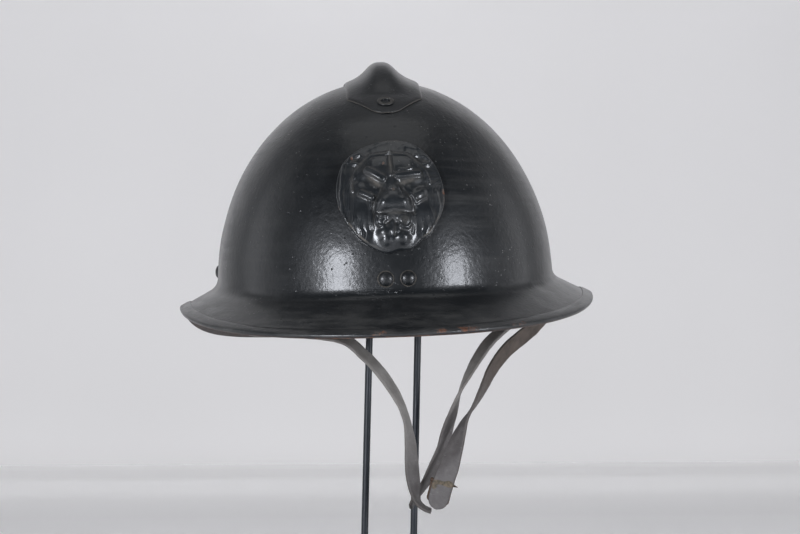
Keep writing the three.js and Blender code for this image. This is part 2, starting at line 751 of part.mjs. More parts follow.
// A pointed pin over the buckle's top bar. Its point stands out past the tongue's edge.
function prongGeometry() {
  const length = 2 * (buckleHalfWidth + buckleAside);
  const pin = lathe(
    [
      [0, -length / 2],
      [prongRadius, -length / 2],
      [prongRadius, length * 0.2],
      [prongRadius * 0.7, length * 0.36],
      [0, length / 2],
    ],
    8,
  );
  const over = buckleHalfHeight - buckleBar / 2;
  return placeOnTongue(pin.rotateZ(-quarter * buckleFront).translate(0, over, -buckleFront * prongBehind));
}

// The stand

const helmetTurn = new THREE.Euler(-degrees(helmetPitch), -degrees(helmetRoll), 0);
const helmetPlace = new THREE.Matrix4().makeRotationFromEuler(helmetTurn).setPosition(helmetAside, 0, helmetLevel);

// A plate that lies against the inside of the crown.
function saddleGeometry() {
  const spokes = 24;
  const top = -shellSteel - 2 * gap;
  const ring = (radius, lift) =>
    Array.from({ length: spokes }, (_, i) => {
      const turn = (i / spokes) * Math.PI * 2;
      return domeAbove(saddleAcross + radius * Math.cos(turn), saddleBack + radius * Math.sin(turn), lift).point;
    });
  const shares = [0.1, 0.4, 0.7, 1];
  const over = shares.map((share) => ring(share * saddleRadius, top));
  const under = shares.map((share) => ring(share * saddleRadius, top - saddleThickness)).reverse();
  return loft([...over, ...under]);
}

// Each rod runs from a socket in the foot to a socket in the saddle.
const rods = [-1, 1].map((side) => {
  const across = rodAside + (side * rodSpacing) / 2;
  const depth = -shellSteel - gap - saddleThickness * 0.55;
  return {
    name: side < 0 ? "stand_rod_left" : "stand_rod_right",
    foot: new THREE.Vector3(across, rodSetback, standPlate - rodSocket),
    head: domeAbove(saddleAcross + across, saddleBack, depth).point.applyMatrix4(helmetPlace),
  };
});

function rodSocketTool({ foot, head }) {
  const along = head.clone().sub(foot).normalize();
  return rodBetween(
    foot.clone().addScaledVector(along, -gap),
    head.clone().addScaledVector(along, gap),
    rodRadius + gap,
  );
}

// Assembly

function piece(name, geometry, material) {
  const mesh = new THREE.Mesh(geometry, material);
  mesh.name = name;
  return mesh;
}

const shellDrills = [
  ...rivets.map(({ seat }) => drill(seat, rivetShank + gap)),
  ...eyelets.map(({ seat }) => drill(seat, eyeletBarrel + gap)),
];

const helmet = new THREE.Group();
helmet.position.set(helmetAside, 0, helmetLevel);
helmet.rotation.copy(helmetTurn);
helmet.add(piece("shell", cut(shellGeometry(), shellDrills), blackPaint));
helmet.add(piece("brim_edging", edgingGeometry(), blackPaint));
helmet.add(
  piece("comb", cut(combGeometry(), eyelets.map(({ seat }) => drill(seat, eyeletBarrel + gap))), blackPaint),
);
for (const { name, seat } of eyelets) {
  helmet.add(piece(name, standOn(seat, eyeletGeometry()), blackPaint));
}
helmet.add(piece("badge", badgeGeometry(), blackPaint));
for (const { name, seat, grip } of rivets) {
  helmet.add(piece(name, standOn(seat, rivetGeometry(grip)), blackPaint));
}
for (const [side, name] of [[-1, "left"], [1, "right"]]) {
  const plate = bracketGeometry().translate(bracketFace - bracketSteel, 0, 0).applyMatrix4(placeBracket(side));
  const sideDrills = rivets
    .filter((rivet) => rivet.name.startsWith(`rivet_${name}`))
    .map(({ seat }) => drill(seat, rivetShank + gap));
  helmet.add(piece(`strap_bracket_${name}`, cut(plate, sideDrills), blackPaint));
}
helmet.add(piece("strap_left", ribbonGeometry(leftFrames, () => strapWidth / 2), leather));
helmet.add(piece("strap_right", ribbonGeometry(rightFrames, tongueHalfWidth), leather));
helmet.add(piece("buckle", buckleGeometry(), rustySteel));
helmet.add(piece("buckle_prong", prongGeometry(), rustySteel));

const saddle = saddleGeometry().applyMatrix4(helmetPlace);
const foot = new THREE.BoxGeometry(standWidth, standDepth, standPlate).translate(0, 0, standPlate / 2);
const stand = new THREE.Group();
stand.add(piece("stand_foot", cut(foot, rods.map(rodSocketTool)), standPaint));
for (const rod of rods) {
  stand.add(piece(rod.name, rodBetween(rod.foot, rod.head, rodRadius), standPaint));
}
stand.add(piece("stand_saddle", cut(saddle, rods.map(rodSocketTool)), standPaint));

const part = new THREE.Group();
part.add(helmet, stand);

export default part;
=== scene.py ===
# %% [markdown]
# # A combed steel helmet on its stand
#
# The frame gives the size and place of each solid. The cells below replace them with finer surfaces:
# the pressed shell, its folded edging, the comb, the lion's head badge, the rivets and the chin strap.
# The shape functions work in millimetres in the helmet's own frame, whose origin is the middle of the
# dome at its widest level. `to_row` then sets them on the stand with the helmet's small tilt.

# %% Frame and helpers
import math

import bpy
import numpy as np
from mathutils import Matrix, Vector


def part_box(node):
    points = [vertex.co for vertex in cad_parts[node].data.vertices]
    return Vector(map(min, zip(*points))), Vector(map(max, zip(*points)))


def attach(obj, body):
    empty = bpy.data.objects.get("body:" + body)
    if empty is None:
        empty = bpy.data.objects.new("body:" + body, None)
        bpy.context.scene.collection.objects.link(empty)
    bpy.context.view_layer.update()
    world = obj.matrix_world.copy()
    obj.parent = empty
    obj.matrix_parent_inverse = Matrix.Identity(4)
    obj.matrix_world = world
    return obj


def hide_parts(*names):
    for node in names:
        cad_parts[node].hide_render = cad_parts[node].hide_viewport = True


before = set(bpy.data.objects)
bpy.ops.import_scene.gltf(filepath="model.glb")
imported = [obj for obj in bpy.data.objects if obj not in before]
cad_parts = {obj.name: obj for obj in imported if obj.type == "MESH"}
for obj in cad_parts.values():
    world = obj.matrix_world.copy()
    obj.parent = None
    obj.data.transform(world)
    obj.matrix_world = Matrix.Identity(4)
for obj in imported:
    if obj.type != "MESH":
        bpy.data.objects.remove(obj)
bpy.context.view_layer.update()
TURN = 2 * math.pi
MM = 0.001
print("solids:", len(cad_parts))

# Sizes in millimetres and degrees, as in the solids.
STEEL = 1.0
GAP = 0.3
HALF_WIDTH, FRONT, REAR, RISE = 94.2, 108.0, 113.0, 112.2
SIDE_REACH, VISOR_REACH, NECK_REACH = 20.5, 35.0, 34.0
VISOR_DIP, NECK_DIP = 13.0, 7.5
SIDE_FALL, VISOR_FALL, NECK_FALL = 10.7, 19.5, 19.3
FILLET = 8.5
VISOR_SWEEP, NECK_SWEEP, SIDE_EASE = 1.2, 3.2, 0.07
EDGING_WIDTH, EDGING_STEEL = 5.5, 0.5
COMB_HALF_WIDTH, COMB_OFFSET, COMB_RISE, COMB_RIDGE = 20.3, 1.0, 9.8, 8.8
COMB_TIP, COMB_SHOULDER, COMB_TIP_HALF, COMB_FOOT = 40.7, 30.2, 5.5, 30.7
COMB_STEEL = 0.8
EYELET_ANGLE = 35.4
BADGE_ANGLE, BADGE_HALF_WIDTH, BADGE_HALF_HEIGHT = 69.3, 27.5, 32.2
RIVET_SPACING, VISOR_RIVET, NECK_RIVET, SIDE_RIVET = 11.4, -4.3, 5.0, 8.5
VISOR_RIVET_ASIDE = 1.1
SIDE_SETBACK = 16.0
HELMET_LEVEL, HELMET_ASIDE, ROLL, PITCH = 177.7, -1.5, 2.1, 3.0

HELMET = (
    Matrix.Translation((HELMET_ASIDE, 0, HELMET_LEVEL))
    @ Matrix.Rotation(math.radians(-PITCH), 4, "X")
    @ Matrix.Rotation(math.radians(-ROLL), 4, "Y")
)


def to_row(points):
    """Helmet-frame millimetres to row-frame metres."""
    m = np.array(HELMET)
    return (points @ m[:3, :3].T + m[:3, 3]) * MM


def unit(v):
    return v / np.maximum(np.linalg.norm(v, axis=-1, keepdims=True), 1e-12)


def smoothstep(x, low, high):
    t = np.clip((x - low) / (high - low), 0, 1)
    return t * t * (3 - 2 * t)


def waves(points, scale, seed):
    """A smooth wandering value at each point, about -1 to 1, from a few crossed sine waves."""
    rng = np.random.default_rng(seed)
    total = np.zeros(points.shape[:-1])
    weight = 0.0
    for octave in range(3):
        for _ in range(4):
            direction = rng.normal(size=3)
            direction /= np.linalg.norm(direction)
            phase = rng.uniform(0, TURN)
            total += np.sin(points @ direction * (TURN / scale) * 2**octave + phase) * 0.5**octave
            weight += 0.5**octave
    return total / weight * 1.6


# %% [markdown]
# Each surface is a grid of points, a row of them at a time. `mesh_from_grid` joins the rows, caps the ends
# with a fan or closes them on each other, and turns the faces outwards. Named values for each point, such as
# how worn it is, go in as attributes that the materials read.


# %% Mesh building
def mesh_from_grid(name, grid, wrap_rows=False, poles=(None, None), uv=None, values=None):
    rows, columns = grid.shape[:2]
    points = grid.reshape(-1, 3)
    row_count = rows if wrap_rows else rows - 1
    i, j = (k.ravel() for k in np.meshgrid(np.arange(row_count), np.arange(columns), indexing="ij"))
    i2, j2 = (i + 1) % rows, (j + 1) % columns
    faces = np.stack([i * columns + j, i * columns + j2, i2 * columns + j2, i2 * columns + j], 1).tolist()
    extra = []
    for pole, row in zip(poles, (0, rows - 1)):
        if pole is None:
            continue
        index = len(points) + len(extra)
        extra.append(pole)
        for k in range(columns):
            a, b = row * columns + k, row * columns + (k + 1) % columns
            faces.append([index, b, a] if row == 0 else [index, a, b])
    if extra:
        points = np.vstack([points, np.array(extra)])
    mesh = bpy.data.meshes.new(name)
    mesh.from_pydata(points.tolist(), [], faces)
    mesh.update()
    if uv is not None:
        layer = mesh.uv_layers.new(name="UVMap")
        loops = np.empty(len(mesh.loops), dtype=np.int32)
        mesh.loops.foreach_get("vertex_index", loops)
        flat = np.vstack([uv.reshape(-1, 2), np.zeros((len(extra), 2))])
        layer.data.foreach_set("uv", flat[loops].astype(np.float32).ravel())
    for key, value in (values or {}).items():
        attribute = mesh.attributes.new(key, "FLOAT", "POINT")
        full = np.concatenate([value.ravel(), np.full(len(extra), float(np.ravel(value)[0]))])
        attribute.data.foreach_set("value", full.astype(np.float32))
    if signed_volume(mesh) < 0:
        mesh.flip_normals()
    mesh.polygons.foreach_set("use_smooth", [True] * len(mesh.polygons))
    mesh.update()
    return mesh


def signed_volume(mesh):
    mesh.calc_loop_triangles()
    triangles = np.empty(len(mesh.loop_triangles) * 3, dtype=np.int32)
    mesh.loop_triangles.foreach_get("vertices", triangles)
    co = np.empty(len(mesh.vertices) * 3)
    mesh.vertices.foreach_get("co", co)
    a, b, c = co.reshape(-1, 3)[triangles.reshape(-1, 3)].transpose(1, 0, 2)
    return float(np.einsum("ij,ij->i", a, np.cross(b, c)).sum() / 6)


def add_object(name, data):
    o = bpy.data.objects.new(name, data)
    bpy.context.scene.collection.objects.link(o)
    return o


def paint_with(mesh, material):
    mesh.materials.clear()
    mesh.materials.append(material)


def piece(mesh, material, slot, *nodes):
    """An object for a mesh, which stands for the named solids and rides with the one body."""
    paint_with(mesh, material)
    o = add_object(mesh.name, mesh)
    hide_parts(*nodes)
    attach(o, "root")
    print(f"{o.name}: {sum(len(p.vertices) - 2 for p in mesh.polygons)} triangles")


# %% [markdown]
# ## Materials
#
# Every material is procedural. `Nodes` keeps the node code short: it adds a node, sets its inputs and links
# sockets. `Material` adds a shader and the patterns that the materials share, so each of them reads like a
# list of layers.


# %% Node helpers
class Nodes:
    def __init__(self, tree):
        self.tree = tree

    def add(self, kind, inputs=None, **settings):
        node = self.tree.nodes.new(kind)
        for key, value in settings.items():
            setattr(node, key, value)
        for key, value in (inputs or {}).items():
            self.put(node.inputs[key], value)
        return node

    def put(self, socket, value):
        if isinstance(value, bpy.types.NodeSocket):
            self.tree.links.new(value, socket)
        elif isinstance(value, tuple) and socket.type == "RGBA":
            socket.default_value = (*value, 1.0)
        else:
            socket.default_value = value

    def math(self, operation, a, b=0.0):
        return self.add("ShaderNodeMath", {0: a, 1: b}, operation=operation).outputs[0]

    def times(self, a, b):
        return self.math("MULTIPLY", a, b)


class Material(Nodes):
    def __init__(self, name):
        self.material = bpy.data.materials.new(name)
        self.material.use_nodes = True
        super().__init__(self.material.node_tree)
        self.tree.nodes.clear()
        self.shader = self.add("ShaderNodeBsdfPrincipled")
        self.add("ShaderNodeOutputMaterial", {0: self.shader.outputs[0]})
        self.object = self.add("ShaderNodeTexCoord").outputs["Object"]

    def set(self, name, value):
        self.put(self.shader.inputs[name], value)

    def noise(self, scale, detail=3.0, roughness=0.5, vector=None):
        inputs = {"Vector": vector or self.object, "Scale": scale, "Detail": detail, "Roughness": roughness}
        return self.add("ShaderNodeTexNoise", inputs).outputs["Fac"]

    def spots(self, scale, feature="F1", vector=None):
        """The distance to the nearest of many scattered points, or to the edge between two."""
        inputs = {"Vector": vector or self.object, "Scale": scale}
        return self.add("ShaderNodeTexVoronoi", inputs, feature=feature).outputs["Distance"]

    def stretch(self, scale, rotation=(0, 0, 0), vector=None):
        inputs = {"Vector": vector or self.object, "Scale": scale, "Rotation": rotation}
        return self.add("ShaderNodeMapping", inputs).outputs["Vector"]

    def axis(self, name):
        return self.add("ShaderNodeSeparateXYZ", {0: self.object}).outputs[name]

    def ramp(self, value, low, high, a=0.0, b=1.0):
        node = self.add("ShaderNodeMapRange", {0: value, 1: low, 2: high, 3: a, 4: b})
        node.clamp = True
        return node.outputs[0]

    def most(self, a, b):
        return self.math("MAXIMUM", a, b)

    def frayed(self, value, noise, spread):
        """A value whose borders a noise makes ragged."""
        return self.math("ADD", value, self.times(self.math("SUBTRACT", noise, 0.5), spread))

    def mix(self, factor, a, b):
        """A colour between two."""
        return self.add("ShaderNodeMix", {0: factor, 6: a, 7: b}, data_type="RGBA").outputs[2]

    def blend(self, factor, a, b):
        """A number between two."""
        return self.add("ShaderNodeMix", {0: factor, 2: a, 3: b}, data_type="FLOAT").outputs[0]

    def attribute(self, name):
        return self.add("ShaderNodeAttribute", attribute_name=name).outputs["Fac"]

    def bump(self, height, distance, strength=1.0, normal=None):
        inputs = {"Height": height, "Distance": distance, "Strength": strength}
        if normal is not None:
            inputs["Normal"] = normal
        return self.add("ShaderNodeBump", inputs).outputs[0]


# %% [markdown]
# The black paint is old enamel over steel, with a thin glossy coat. Lumps and orange peel break up the two
# soft reflections. A haze lies on it in level streaks, most of all on the brim, and pale grit, pits,
# scratches and chips are scattered over it. Three attributes of the mesh steer it: where `lining` is 1 it is
# the dark red-brown of the inside, where `wear` is high it is rubbed to rusty steel, and the third is tan
# dust that has stayed in corners. On two stretches of the badge's lower rim that third one is a painted
# highlight instead.


# %% Paint
BLACKS = ((0.0070, 0.0086, 0.0102), (0.0120, 0.0138, 0.0155), (0.018, 0.020, 0.022))
# The last of these is the tan of dust in corners, and also of a painted highlight on the badge's rim.
HAZE, GRIT, TAN_DUST_AND_HIGHLIGHT = (0.062, 0.062, 0.060), (0.21, 0.205, 0.20), (0.150, 0.134, 0.112)
LININGS = ((0.030, 0.015, 0.012), (0.075, 0.037, 0.026))
RUSTS = ((0.085, 0.032, 0.018), (0.27, 0.115, 0.060))
BARE_STEEL = (0.11, 0.095, 0.085)
BRIM_TOP, BRIM_FOOT = 0.169, 0.160


def black_paint(name, dust=1.0, peel=1.0, gloss=0.0, tone=1.0, coat=(0.5, 0.19)):
    n = Material(name)
    wear, lining, dirt = n.attribute("wear"), n.attribute("lining"), n.attribute("dirt")
    broad, mottled = n.noise(14, 4, 0.6), n.noise(60, 5, 0.62)
    # A tone above 1 lightens the blacks, as a painted sheen.
    dark, pale, spotted = (tuple(c * tone for c in colour) for colour in BLACKS)
    paint = n.mix(n.ramp(broad, 0.35, 0.7), dark, pale)
    paint = n.mix(n.ramp(mottled, 0.5, 0.8), paint, spotted)

    streaks = n.noise(1.0, 4, 0.6, n.stretch((16, 16, 230), (0.05, 0.06, 0)))
    haze = n.times(n.ramp(streaks, 0.48, 0.68), n.ramp(broad, 0.40, 0.64))
    marks = n.noise(1.0, 5, 0.68, n.stretch((45, 45, 280), (0.02, 0.03, 0)))
    settled = n.times(n.ramp(n.axis("Z"), BRIM_TOP, BRIM_FOOT), n.ramp(marks, 0.42, 0.60, 0.10, 2.1))
    haze = n.most(haze, settled)
    paint = n.mix(n.times(haze, 0.34 * dust), paint, HAZE)

    grit_size = n.ramp(n.noise(130, 2), 0.40, 0.75, 0.03, 0.24)
    grit = n.times(n.math("LESS_THAN", n.spots(430), grit_size), n.ramp(n.noise(35, 3), 0.52, 0.62))
    paint = n.mix(n.times(grit, 0.6 * dust), paint, GRIT)
    inside = n.mix(n.ramp(n.noise(90, 5, 0.6), 0.35, 0.7), *LININGS)
    colour = n.mix(lining, paint, inside)
    # Tan dust in corners, and on the badge's lower rim a painted highlight in the same tan.
    dust_and_highlight_mask = n.times(dirt, n.ramp(n.noise(330, 5, 0.7), 0.34, 0.62, 0.35, 1.0))
    colour = n.mix(dust_and_highlight_mask, colour, TAN_DUST_AND_HIGHLIGHT)

    rust = n.mix(n.ramp(n.noise(700, 4), 0.35, 0.65), *RUSTS)
    bare = n.mix(n.ramp(n.noise(300, 3), 0.4, 0.6), rust, BARE_STEEL)
    worn = n.ramp(n.frayed(wear, n.noise(260, 6, 0.7), 0.9), 0.48, 0.56)
    chips = n.math("GREATER_THAN", n.noise(150, 6, 0.75), 0.735)
    worn = n.most(worn, n.times(chips, 0.8))
    n.set("Base Color", n.mix(worn, colour, bare))

    rough = n.ramp(mottled, 0.3, 0.75, 0.34 - gloss, 0.46 - gloss)
    hazy = n.math("MINIMUM", haze, 1.0)
    for amount, roughness in ((hazy, 0.5), (lining, 0.45), (dust_and_highlight_mask, 0.8), (worn, 0.75)):
        rough = n.blend(amount, rough, roughness)
    n.set("Roughness", rough)
    n.set("Specular IOR Level", 0.5)
    coat_weight, coat_roughness = coat
    dull = n.most(n.most(worn, lining), dust_and_highlight_mask)
    n.set("Coat Weight", n.math("SUBTRACT", coat_weight, n.times(dull, coat_weight)))
    n.set("Coat Roughness", coat_roughness)

    surface = n.bump(n.noise(60, 3, 0.5), 0.0009 * peel, 0.22)
    surface = n.bump(n.noise(420, 3, 0.55), 0.00022 * peel, 0.42, surface)
    surface = n.bump(n.noise(420, 3, 0.6), 0.00012, 0.5, surface)
    pits = n.times(n.ramp(n.spots(260), 0.05, 0.16, -1.0, 0.0), n.ramp(n.noise(48, 3), 0.46, 0.56))
    surface = n.bump(pits, 0.00028 * peel, 0.9, surface)
    surface = n.bump(grit, 0.00015, 0.4 * dust, surface)
    scratches = n.spots(1.0, "DISTANCE_TO_EDGE", n.stretch((30, 30, 900), (0.9, 0.35, 0.2)))
    scratch = n.times(n.ramp(scratches, 0.0, 0.03, -1.0, 0.0), n.ramp(n.noise(25, 2), 0.58, 0.66))
    surface = n.bump(scratch, 0.00008, 0.4, surface)
    surface = n.bump(worn, -0.00012, 0.8, surface)
    n.set("Normal", surface)
    n.set("Coat Normal", surface)
    return n.material


# %% [markdown]
# The strap is dry leather: grey on its grain side and browner on its flesh side, with pale scuffs, fine
# creases across it where it bends, and darker rubbed edges. The attributes `brown`, `pale` and `stain` say
# where it has kept its brown, where a paler leather is painted in as light over stretches in the brim's
# shade, and where the buckle has left rust on it.


# %% Leather
GRAIN_SIDE = ((0.105, 0.095, 0.092), (0.180, 0.168, 0.164))
FLESH_SIDE = ((0.085, 0.070, 0.062), (0.165, 0.148, 0.138))
BROWN_LEATHER = ((0.060, 0.045, 0.036), (0.135, 0.108, 0.090))
# Painted light: a paler leather for stretches that lie in the brim's shade.
PAINTED_LIGHT_LEATHER = ((0.30, 0.282, 0.262), (0.46, 0.438, 0.415))
RUST_STAIN = ((0.085, 0.070, 0.045), (0.19, 0.145, 0.095))
SCUFFED, RUBBED_EDGE = (0.36, 0.345, 0.34), (0.080, 0.068, 0.058)


def strap_leather(name):
    n = Material(name)
    uv = n.add("ShaderNodeTexCoord").outputs["UV"]
    patches = n.noise(140, 5, 0.65)
    patchy = n.ramp(patches, 0.35, 0.68)
    scuffs = n.noise(1.0, 5, 0.72, n.stretch((120, 900, 1), (0, 0, 0.35), uv))
    outer = n.mix(n.times(n.ramp(scuffs, 0.60, 0.68), 0.55), n.mix(patchy, *GRAIN_SIDE), SCUFFED)
    flesh = n.mix(n.ramp(n.noise(260, 5, 0.6), 0.35, 0.7), *FLESH_SIDE)
    colour = n.mix(n.attribute("flesh"), outer, flesh)
    colour = n.mix(n.attribute("brown"), colour, n.mix(patchy, *BROWN_LEATHER))
    # Stretches in the brim's shade are painted paler, as light.
    colour = n.mix(n.attribute("pale"), colour, n.mix(patchy, *PAINTED_LIGHT_LEATHER))
    colour = n.mix(n.times(n.attribute("edge"), 0.45), colour, RUBBED_EDGE)
    rusty = n.mix(n.ramp(n.noise(700, 4), 0.4, 0.6), *RUST_STAIN)
    stained = n.frayed(n.attribute("stain"), n.noise(500, 5, 0.7), 0.8)
    n.set("Base Color", n.mix(n.ramp(stained, 0.35, 0.75), colour, rusty))
    n.set("Roughness", n.ramp(patches, 0.3, 0.7, 0.48, 0.72))
    surface = n.bump(n.spots(1400), 0.00012, 0.5)
    creases = n.noise(1.0, 3, 0.6, n.stretch((9, 260, 1), vector=uv))
    surface = n.bump(creases, 0.0003, 0.35, surface)
    n.set("Normal", n.bump(n.noise(1500, 4, 0.6), 0.00008, 0.5, surface))
    return n.material


# %% [markdown]
# The buckle is pitted with rust all over. The stand is plain dark painted steel with faint clouding and a
# fine grain in it.


# %% Rust and stand paint
def rusty_steel(name):
    n = Material(name)
    pits, patches = n.noise(900, 6, 0.7), n.noise(350, 4)
    tone = n.mix(n.ramp(pits, 0.35, 0.65), (0.050, 0.030, 0.020), (0.17, 0.105, 0.068))
    n.set("Base Color", n.mix(n.ramp(patches, 0.55, 0.7), tone, (0.16, 0.14, 0.125)))
    n.set("Metallic", n.ramp(patches, 0.5, 0.7, 0.1, 0.6))
    n.set("Roughness", n.ramp(pits, 0.3, 0.7, 0.42, 0.8))
    n.set("Normal", n.bump(pits, 0.0004, 0.7))
    return n.material


def stand_paint(name):
    n = Material(name)
    cloud = n.noise(45, 4, 0.6)
    n.set("Base Color", n.mix(n.ramp(cloud, 0.3, 0.7), (0.012, 0.016, 0.022), (0.024, 0.030, 0.038)))
    n.set("Roughness", n.ramp(n.noise(220, 4), 0.3, 0.7, 0.30, 0.46))
    n.set("Normal", n.bump(cloud, 0.0004, 0.2, n.bump(n.noise(900, 3), 0.0001, 0.35)))
    return n.material


PAINT = black_paint("black_paint")
# The badge has the shell's black made 1.7 times lighter, a painted sheen for the grey look of its relief. It
# also gets more dust and a glossier coat.
BADGE_PAINT = black_paint("badge_paint", dust=1.2, peel=0.3, gloss=0.04, tone=1.7, coat=(0.8, 0.09))
LEATHER = strap_leather("strap_leather")
RUST = rusty_steel("rusty_steel")
STAND = stand_paint("stand_paint")

# %% [markdown]
# ## The shell
#
# The dome is half an ellipsoid, a little longer behind than in front. The brim leaves it through a small
# fillet and falls in a straight slope to its edge. How far it reaches and falls changes round the helmet.


# %% Shell
def brim(turn):
    c, s = np.cos(turn), np.sin(turn)
    eased = (np.hypot(s, SIDE_EASE) - SIDE_EASE) / (math.hypot(1, SIDE_EASE) - SIDE_EASE)
    visor = np.where(s < 0, 1 - (1 - eased) ** VISOR_SWEEP, 0)
    neck = np.where(s > 0, 1 - (1 - eased) ** NECK_SWEEP, 0)

    def value(side, front, rear):
        return side + (front - side) * visor + (rear - side) * neck

    wall = np.stack([HALF_WIDTH * c, np.where(s < 0, FRONT, REAR) * s], -1)
    reach = np.where(s < 0, FRONT + VISOR_REACH, REAR + NECK_REACH)
    rim = np.stack([(HALF_WIDTH + SIDE_REACH) * c, reach * s], -1)
    corner = -value(0, VISOR_DIP, NECK_DIP)
    edge = corner - value(SIDE_FALL, VISOR_FALL, NECK_FALL)
    out = rim - wall
    run = np.linalg.norm(out, axis=-1)
    slope = np.arctan2(corner - edge, run)
    out = out / run[..., None]
    down = np.concatenate([out * np.cos(slope)[..., None], -np.sin(slope)[..., None]], -1)
    tangent = FILLET * np.tan((math.pi / 2 - slope) / 2)
    return {
        "wall": wall,
        "tangent": tangent,
        "corner": np.concatenate([wall, corner[..., None]], -1),
        "edge": np.concatenate([rim, edge[..., None]], -1),
        "down": down,
    }


def shell_grid(turn, dome_steps=54, fillet_steps=10, brim_steps=12):
    b = brim(turn)
    rows = []
    foot = b["corner"][:, 2] + b["tangent"]
    for i in range(1, dome_steps + 1):
        z = foot + (RISE - foot) * math.cos(i / dome_steps * math.pi / 2)
        spread = np.sqrt(1 - (np.maximum(z, 0) / RISE) ** 2)
        rows.append(np.concatenate([b["wall"] * spread[:, None], z[:, None]], -1))
    start = rows[-1]
    end = b["corner"] + b["down"] * b["tangent"][:, None]
    for i in range(1, fillet_steps + 1):
        t = i / fillet_steps
        rows.append((1 - t) ** 2 * start + 2 * t * (1 - t) * b["corner"] + t * t * end)
    for i in range(1, brim_steps + 1):
        rows.append(end + (b["edge"] - end) * (i / brim_steps))
    return np.array(rows)


# place, radius, depth
DENTS = (
    ((8.0, -58.0, 96.0), 7.0, 0.5),
    ((-52.0, -80.0, 35.0), 11.0, 0.35),
    ((60.0, -66.0, 62.0), 9.0, 0.3),
)


def hammered(points, normals):
    """Small dents and the slight waviness that pressed sheet has."""
    shift = 0.16 * waves(points, 46, 3) + 0.05 * waves(points, 15, 8)
    for centre, radius, depth in DENTS:
        distance = np.linalg.norm(points - np.array(centre), axis=-1)
        shift = shift - depth * np.exp(-((distance / radius) ** 2))
    return points + normals * shift[..., None]


TURNS = 320
turn = np.arange(TURNS) / TURNS * TURN
outer = shell_grid(turn)
around = np.roll(outer, -1, 1) - np.roll(outer, 1, 1)
normals = unit(np.cross(around, np.gradient(outer, axis=0)))
normals *= np.sign((normals * (outer - np.array([0, 0, -20]))).sum(-1, keepdims=True))
calm = smoothstep(np.linalg.norm(outer - outer[-1:], axis=-1), 0, 12)
outer = outer + (hammered(outer, normals) - outer) * calm[..., None]
inner = outer - normals * STEEL
edge_roll = outer[-1:] - normals[-1:] * STEEL / 2 + brim(turn)["down"][None] * 0.25
shell = np.concatenate([outer, edge_roll, inner[::-1]])
rows = len(outer)
lining = np.concatenate([np.zeros((rows, TURNS)), np.full((1, TURNS), 0.5), np.ones((rows, TURNS))])
poles = (np.array([0, 0, RISE]), np.array([0, 0, RISE - STEEL]))
shell_mesh = mesh_from_grid(
    "shell_skin",
    to_row(shell),
    poles=[to_row(p) for p in poles],
    values={"lining": lining, "wear": np.zeros_like(lining)},
)
piece(shell_mesh, PAINT, "black_paint", "shell")

# %% [markdown]
# The edging is a strip of thin steel folded over the brim. Its fold is round, its free edges wander a
# little, and the paint has worn off along the fold and in a few scuffs on top of it at the front.


# %% Edging
# x, half length, strength
SCUFFS = ((33.0, 12.0, 0.58), (-10.0, 8.0, 0.55), (19.0, 8.0, 0.54), (60.0, 10.0, 0.50), (-28.0, 5.0, 0.46))


def edging():
    at = brim(turn)
    edge, down = at["edge"], at["down"]
    along = unit(np.roll(edge, -1, 0) - np.roll(edge, 1, 0))
    up = unit(np.cross(along, down))
    up *= np.sign(up[:, 2:])
    top, under = GAP, -STEEL - GAP
    middle, half = (top + under) / 2, (top - under) / 2
    fold = np.linspace(math.pi / 2, -math.pi / 2, 9)
    bend = [(GAP * 0.4 + half * math.cos(a) * 0.6, middle + half * math.sin(a)) for a in fold[::-1]]
    inner_side = [(-EDGING_WIDTH, under + 0.22), (-4.4, under)] + bend
    inner_side += [(-4.4, top), (-EDGING_WIDTH, top - 0.22)]
    full = half + EDGING_STEEL
    # From the free edge to the fold, how far out and how far off the sheet. Both sides have the same.
    flap = [(-EDGING_WIDTH - 0.1, -0.1), (-EDGING_WIDTH + 0.1, 0.12), (-5.0, 0.28)]
    flap += [(-3.4, EDGING_STEEL), (-1.2, EDGING_STEEL)]
    outer_side = [(x, top + lift) for x, lift in flap]
    outer_side += [(GAP + full * math.cos(a) * 0.75, middle + full * math.sin(a)) for a in fold]
    outer_side += [(x, under - lift) for x, lift in reversed(flap)]
    section = np.array(inner_side + outer_side)
    wander = 0.28 * waves(edge, 37, 21) + 0.12 * waves(edge, 9, 22)
    ripple = 0.1 * waves(edge, 24, 23)
    out = section[:, 0][:, None] + np.where(section[:, 0] < -3, 1, 0)[:, None] * wander[None]
    rise = section[:, 1][:, None] + np.sign(section[:, 1] - middle)[:, None] * 0.5 * ripple[None].clip(0)
    grid = edge[None] + down[None] * out[..., None] + up[None] * rise[..., None]
    front = smoothstep(-np.sin(turn), 0.55, 0.95)
    nose = smoothstep(section[:, 0], -0.4, 0.4) * smoothstep(-section[:, 1], 0.3, 1.1)
    patch = 0.5 + 0.5 * waves(edge, 60, 31)
    wear = nose[:, None] * (0.40 + 0.26 * front * patch)[None]
    on_top = (section[:, 1] > middle) * smoothstep(section[:, 0], -5.2, -2.5)
    for x, wide, strong in SCUFFS:
        near = np.exp(-(((edge[:, 0] - x) / wide) ** 2)) * (edge[:, 1] < 0) * strong
        wear = np.maximum(wear, on_top[:, None] * near[None])
    under_side = (section[:, 1] < middle).astype(float)[:, None] * np.ones((1, TURNS)) * 0.8
    return grid, wear, under_side


edging_grid, wear, lining = edging()
values = {"wear": wear, "lining": lining}
edging_mesh = mesh_from_grid("edging_strip", to_row(edging_grid), wrap_rows=True, values=values)
piece(edging_mesh, PAINT, "black_paint", "brim_edging")


# %% [markdown]
# ## The comb
#
# The comb is a pressed ridge on a flange. It follows the dome over the crown, so its places are given by an
# angle from the crown and a distance out to the side.


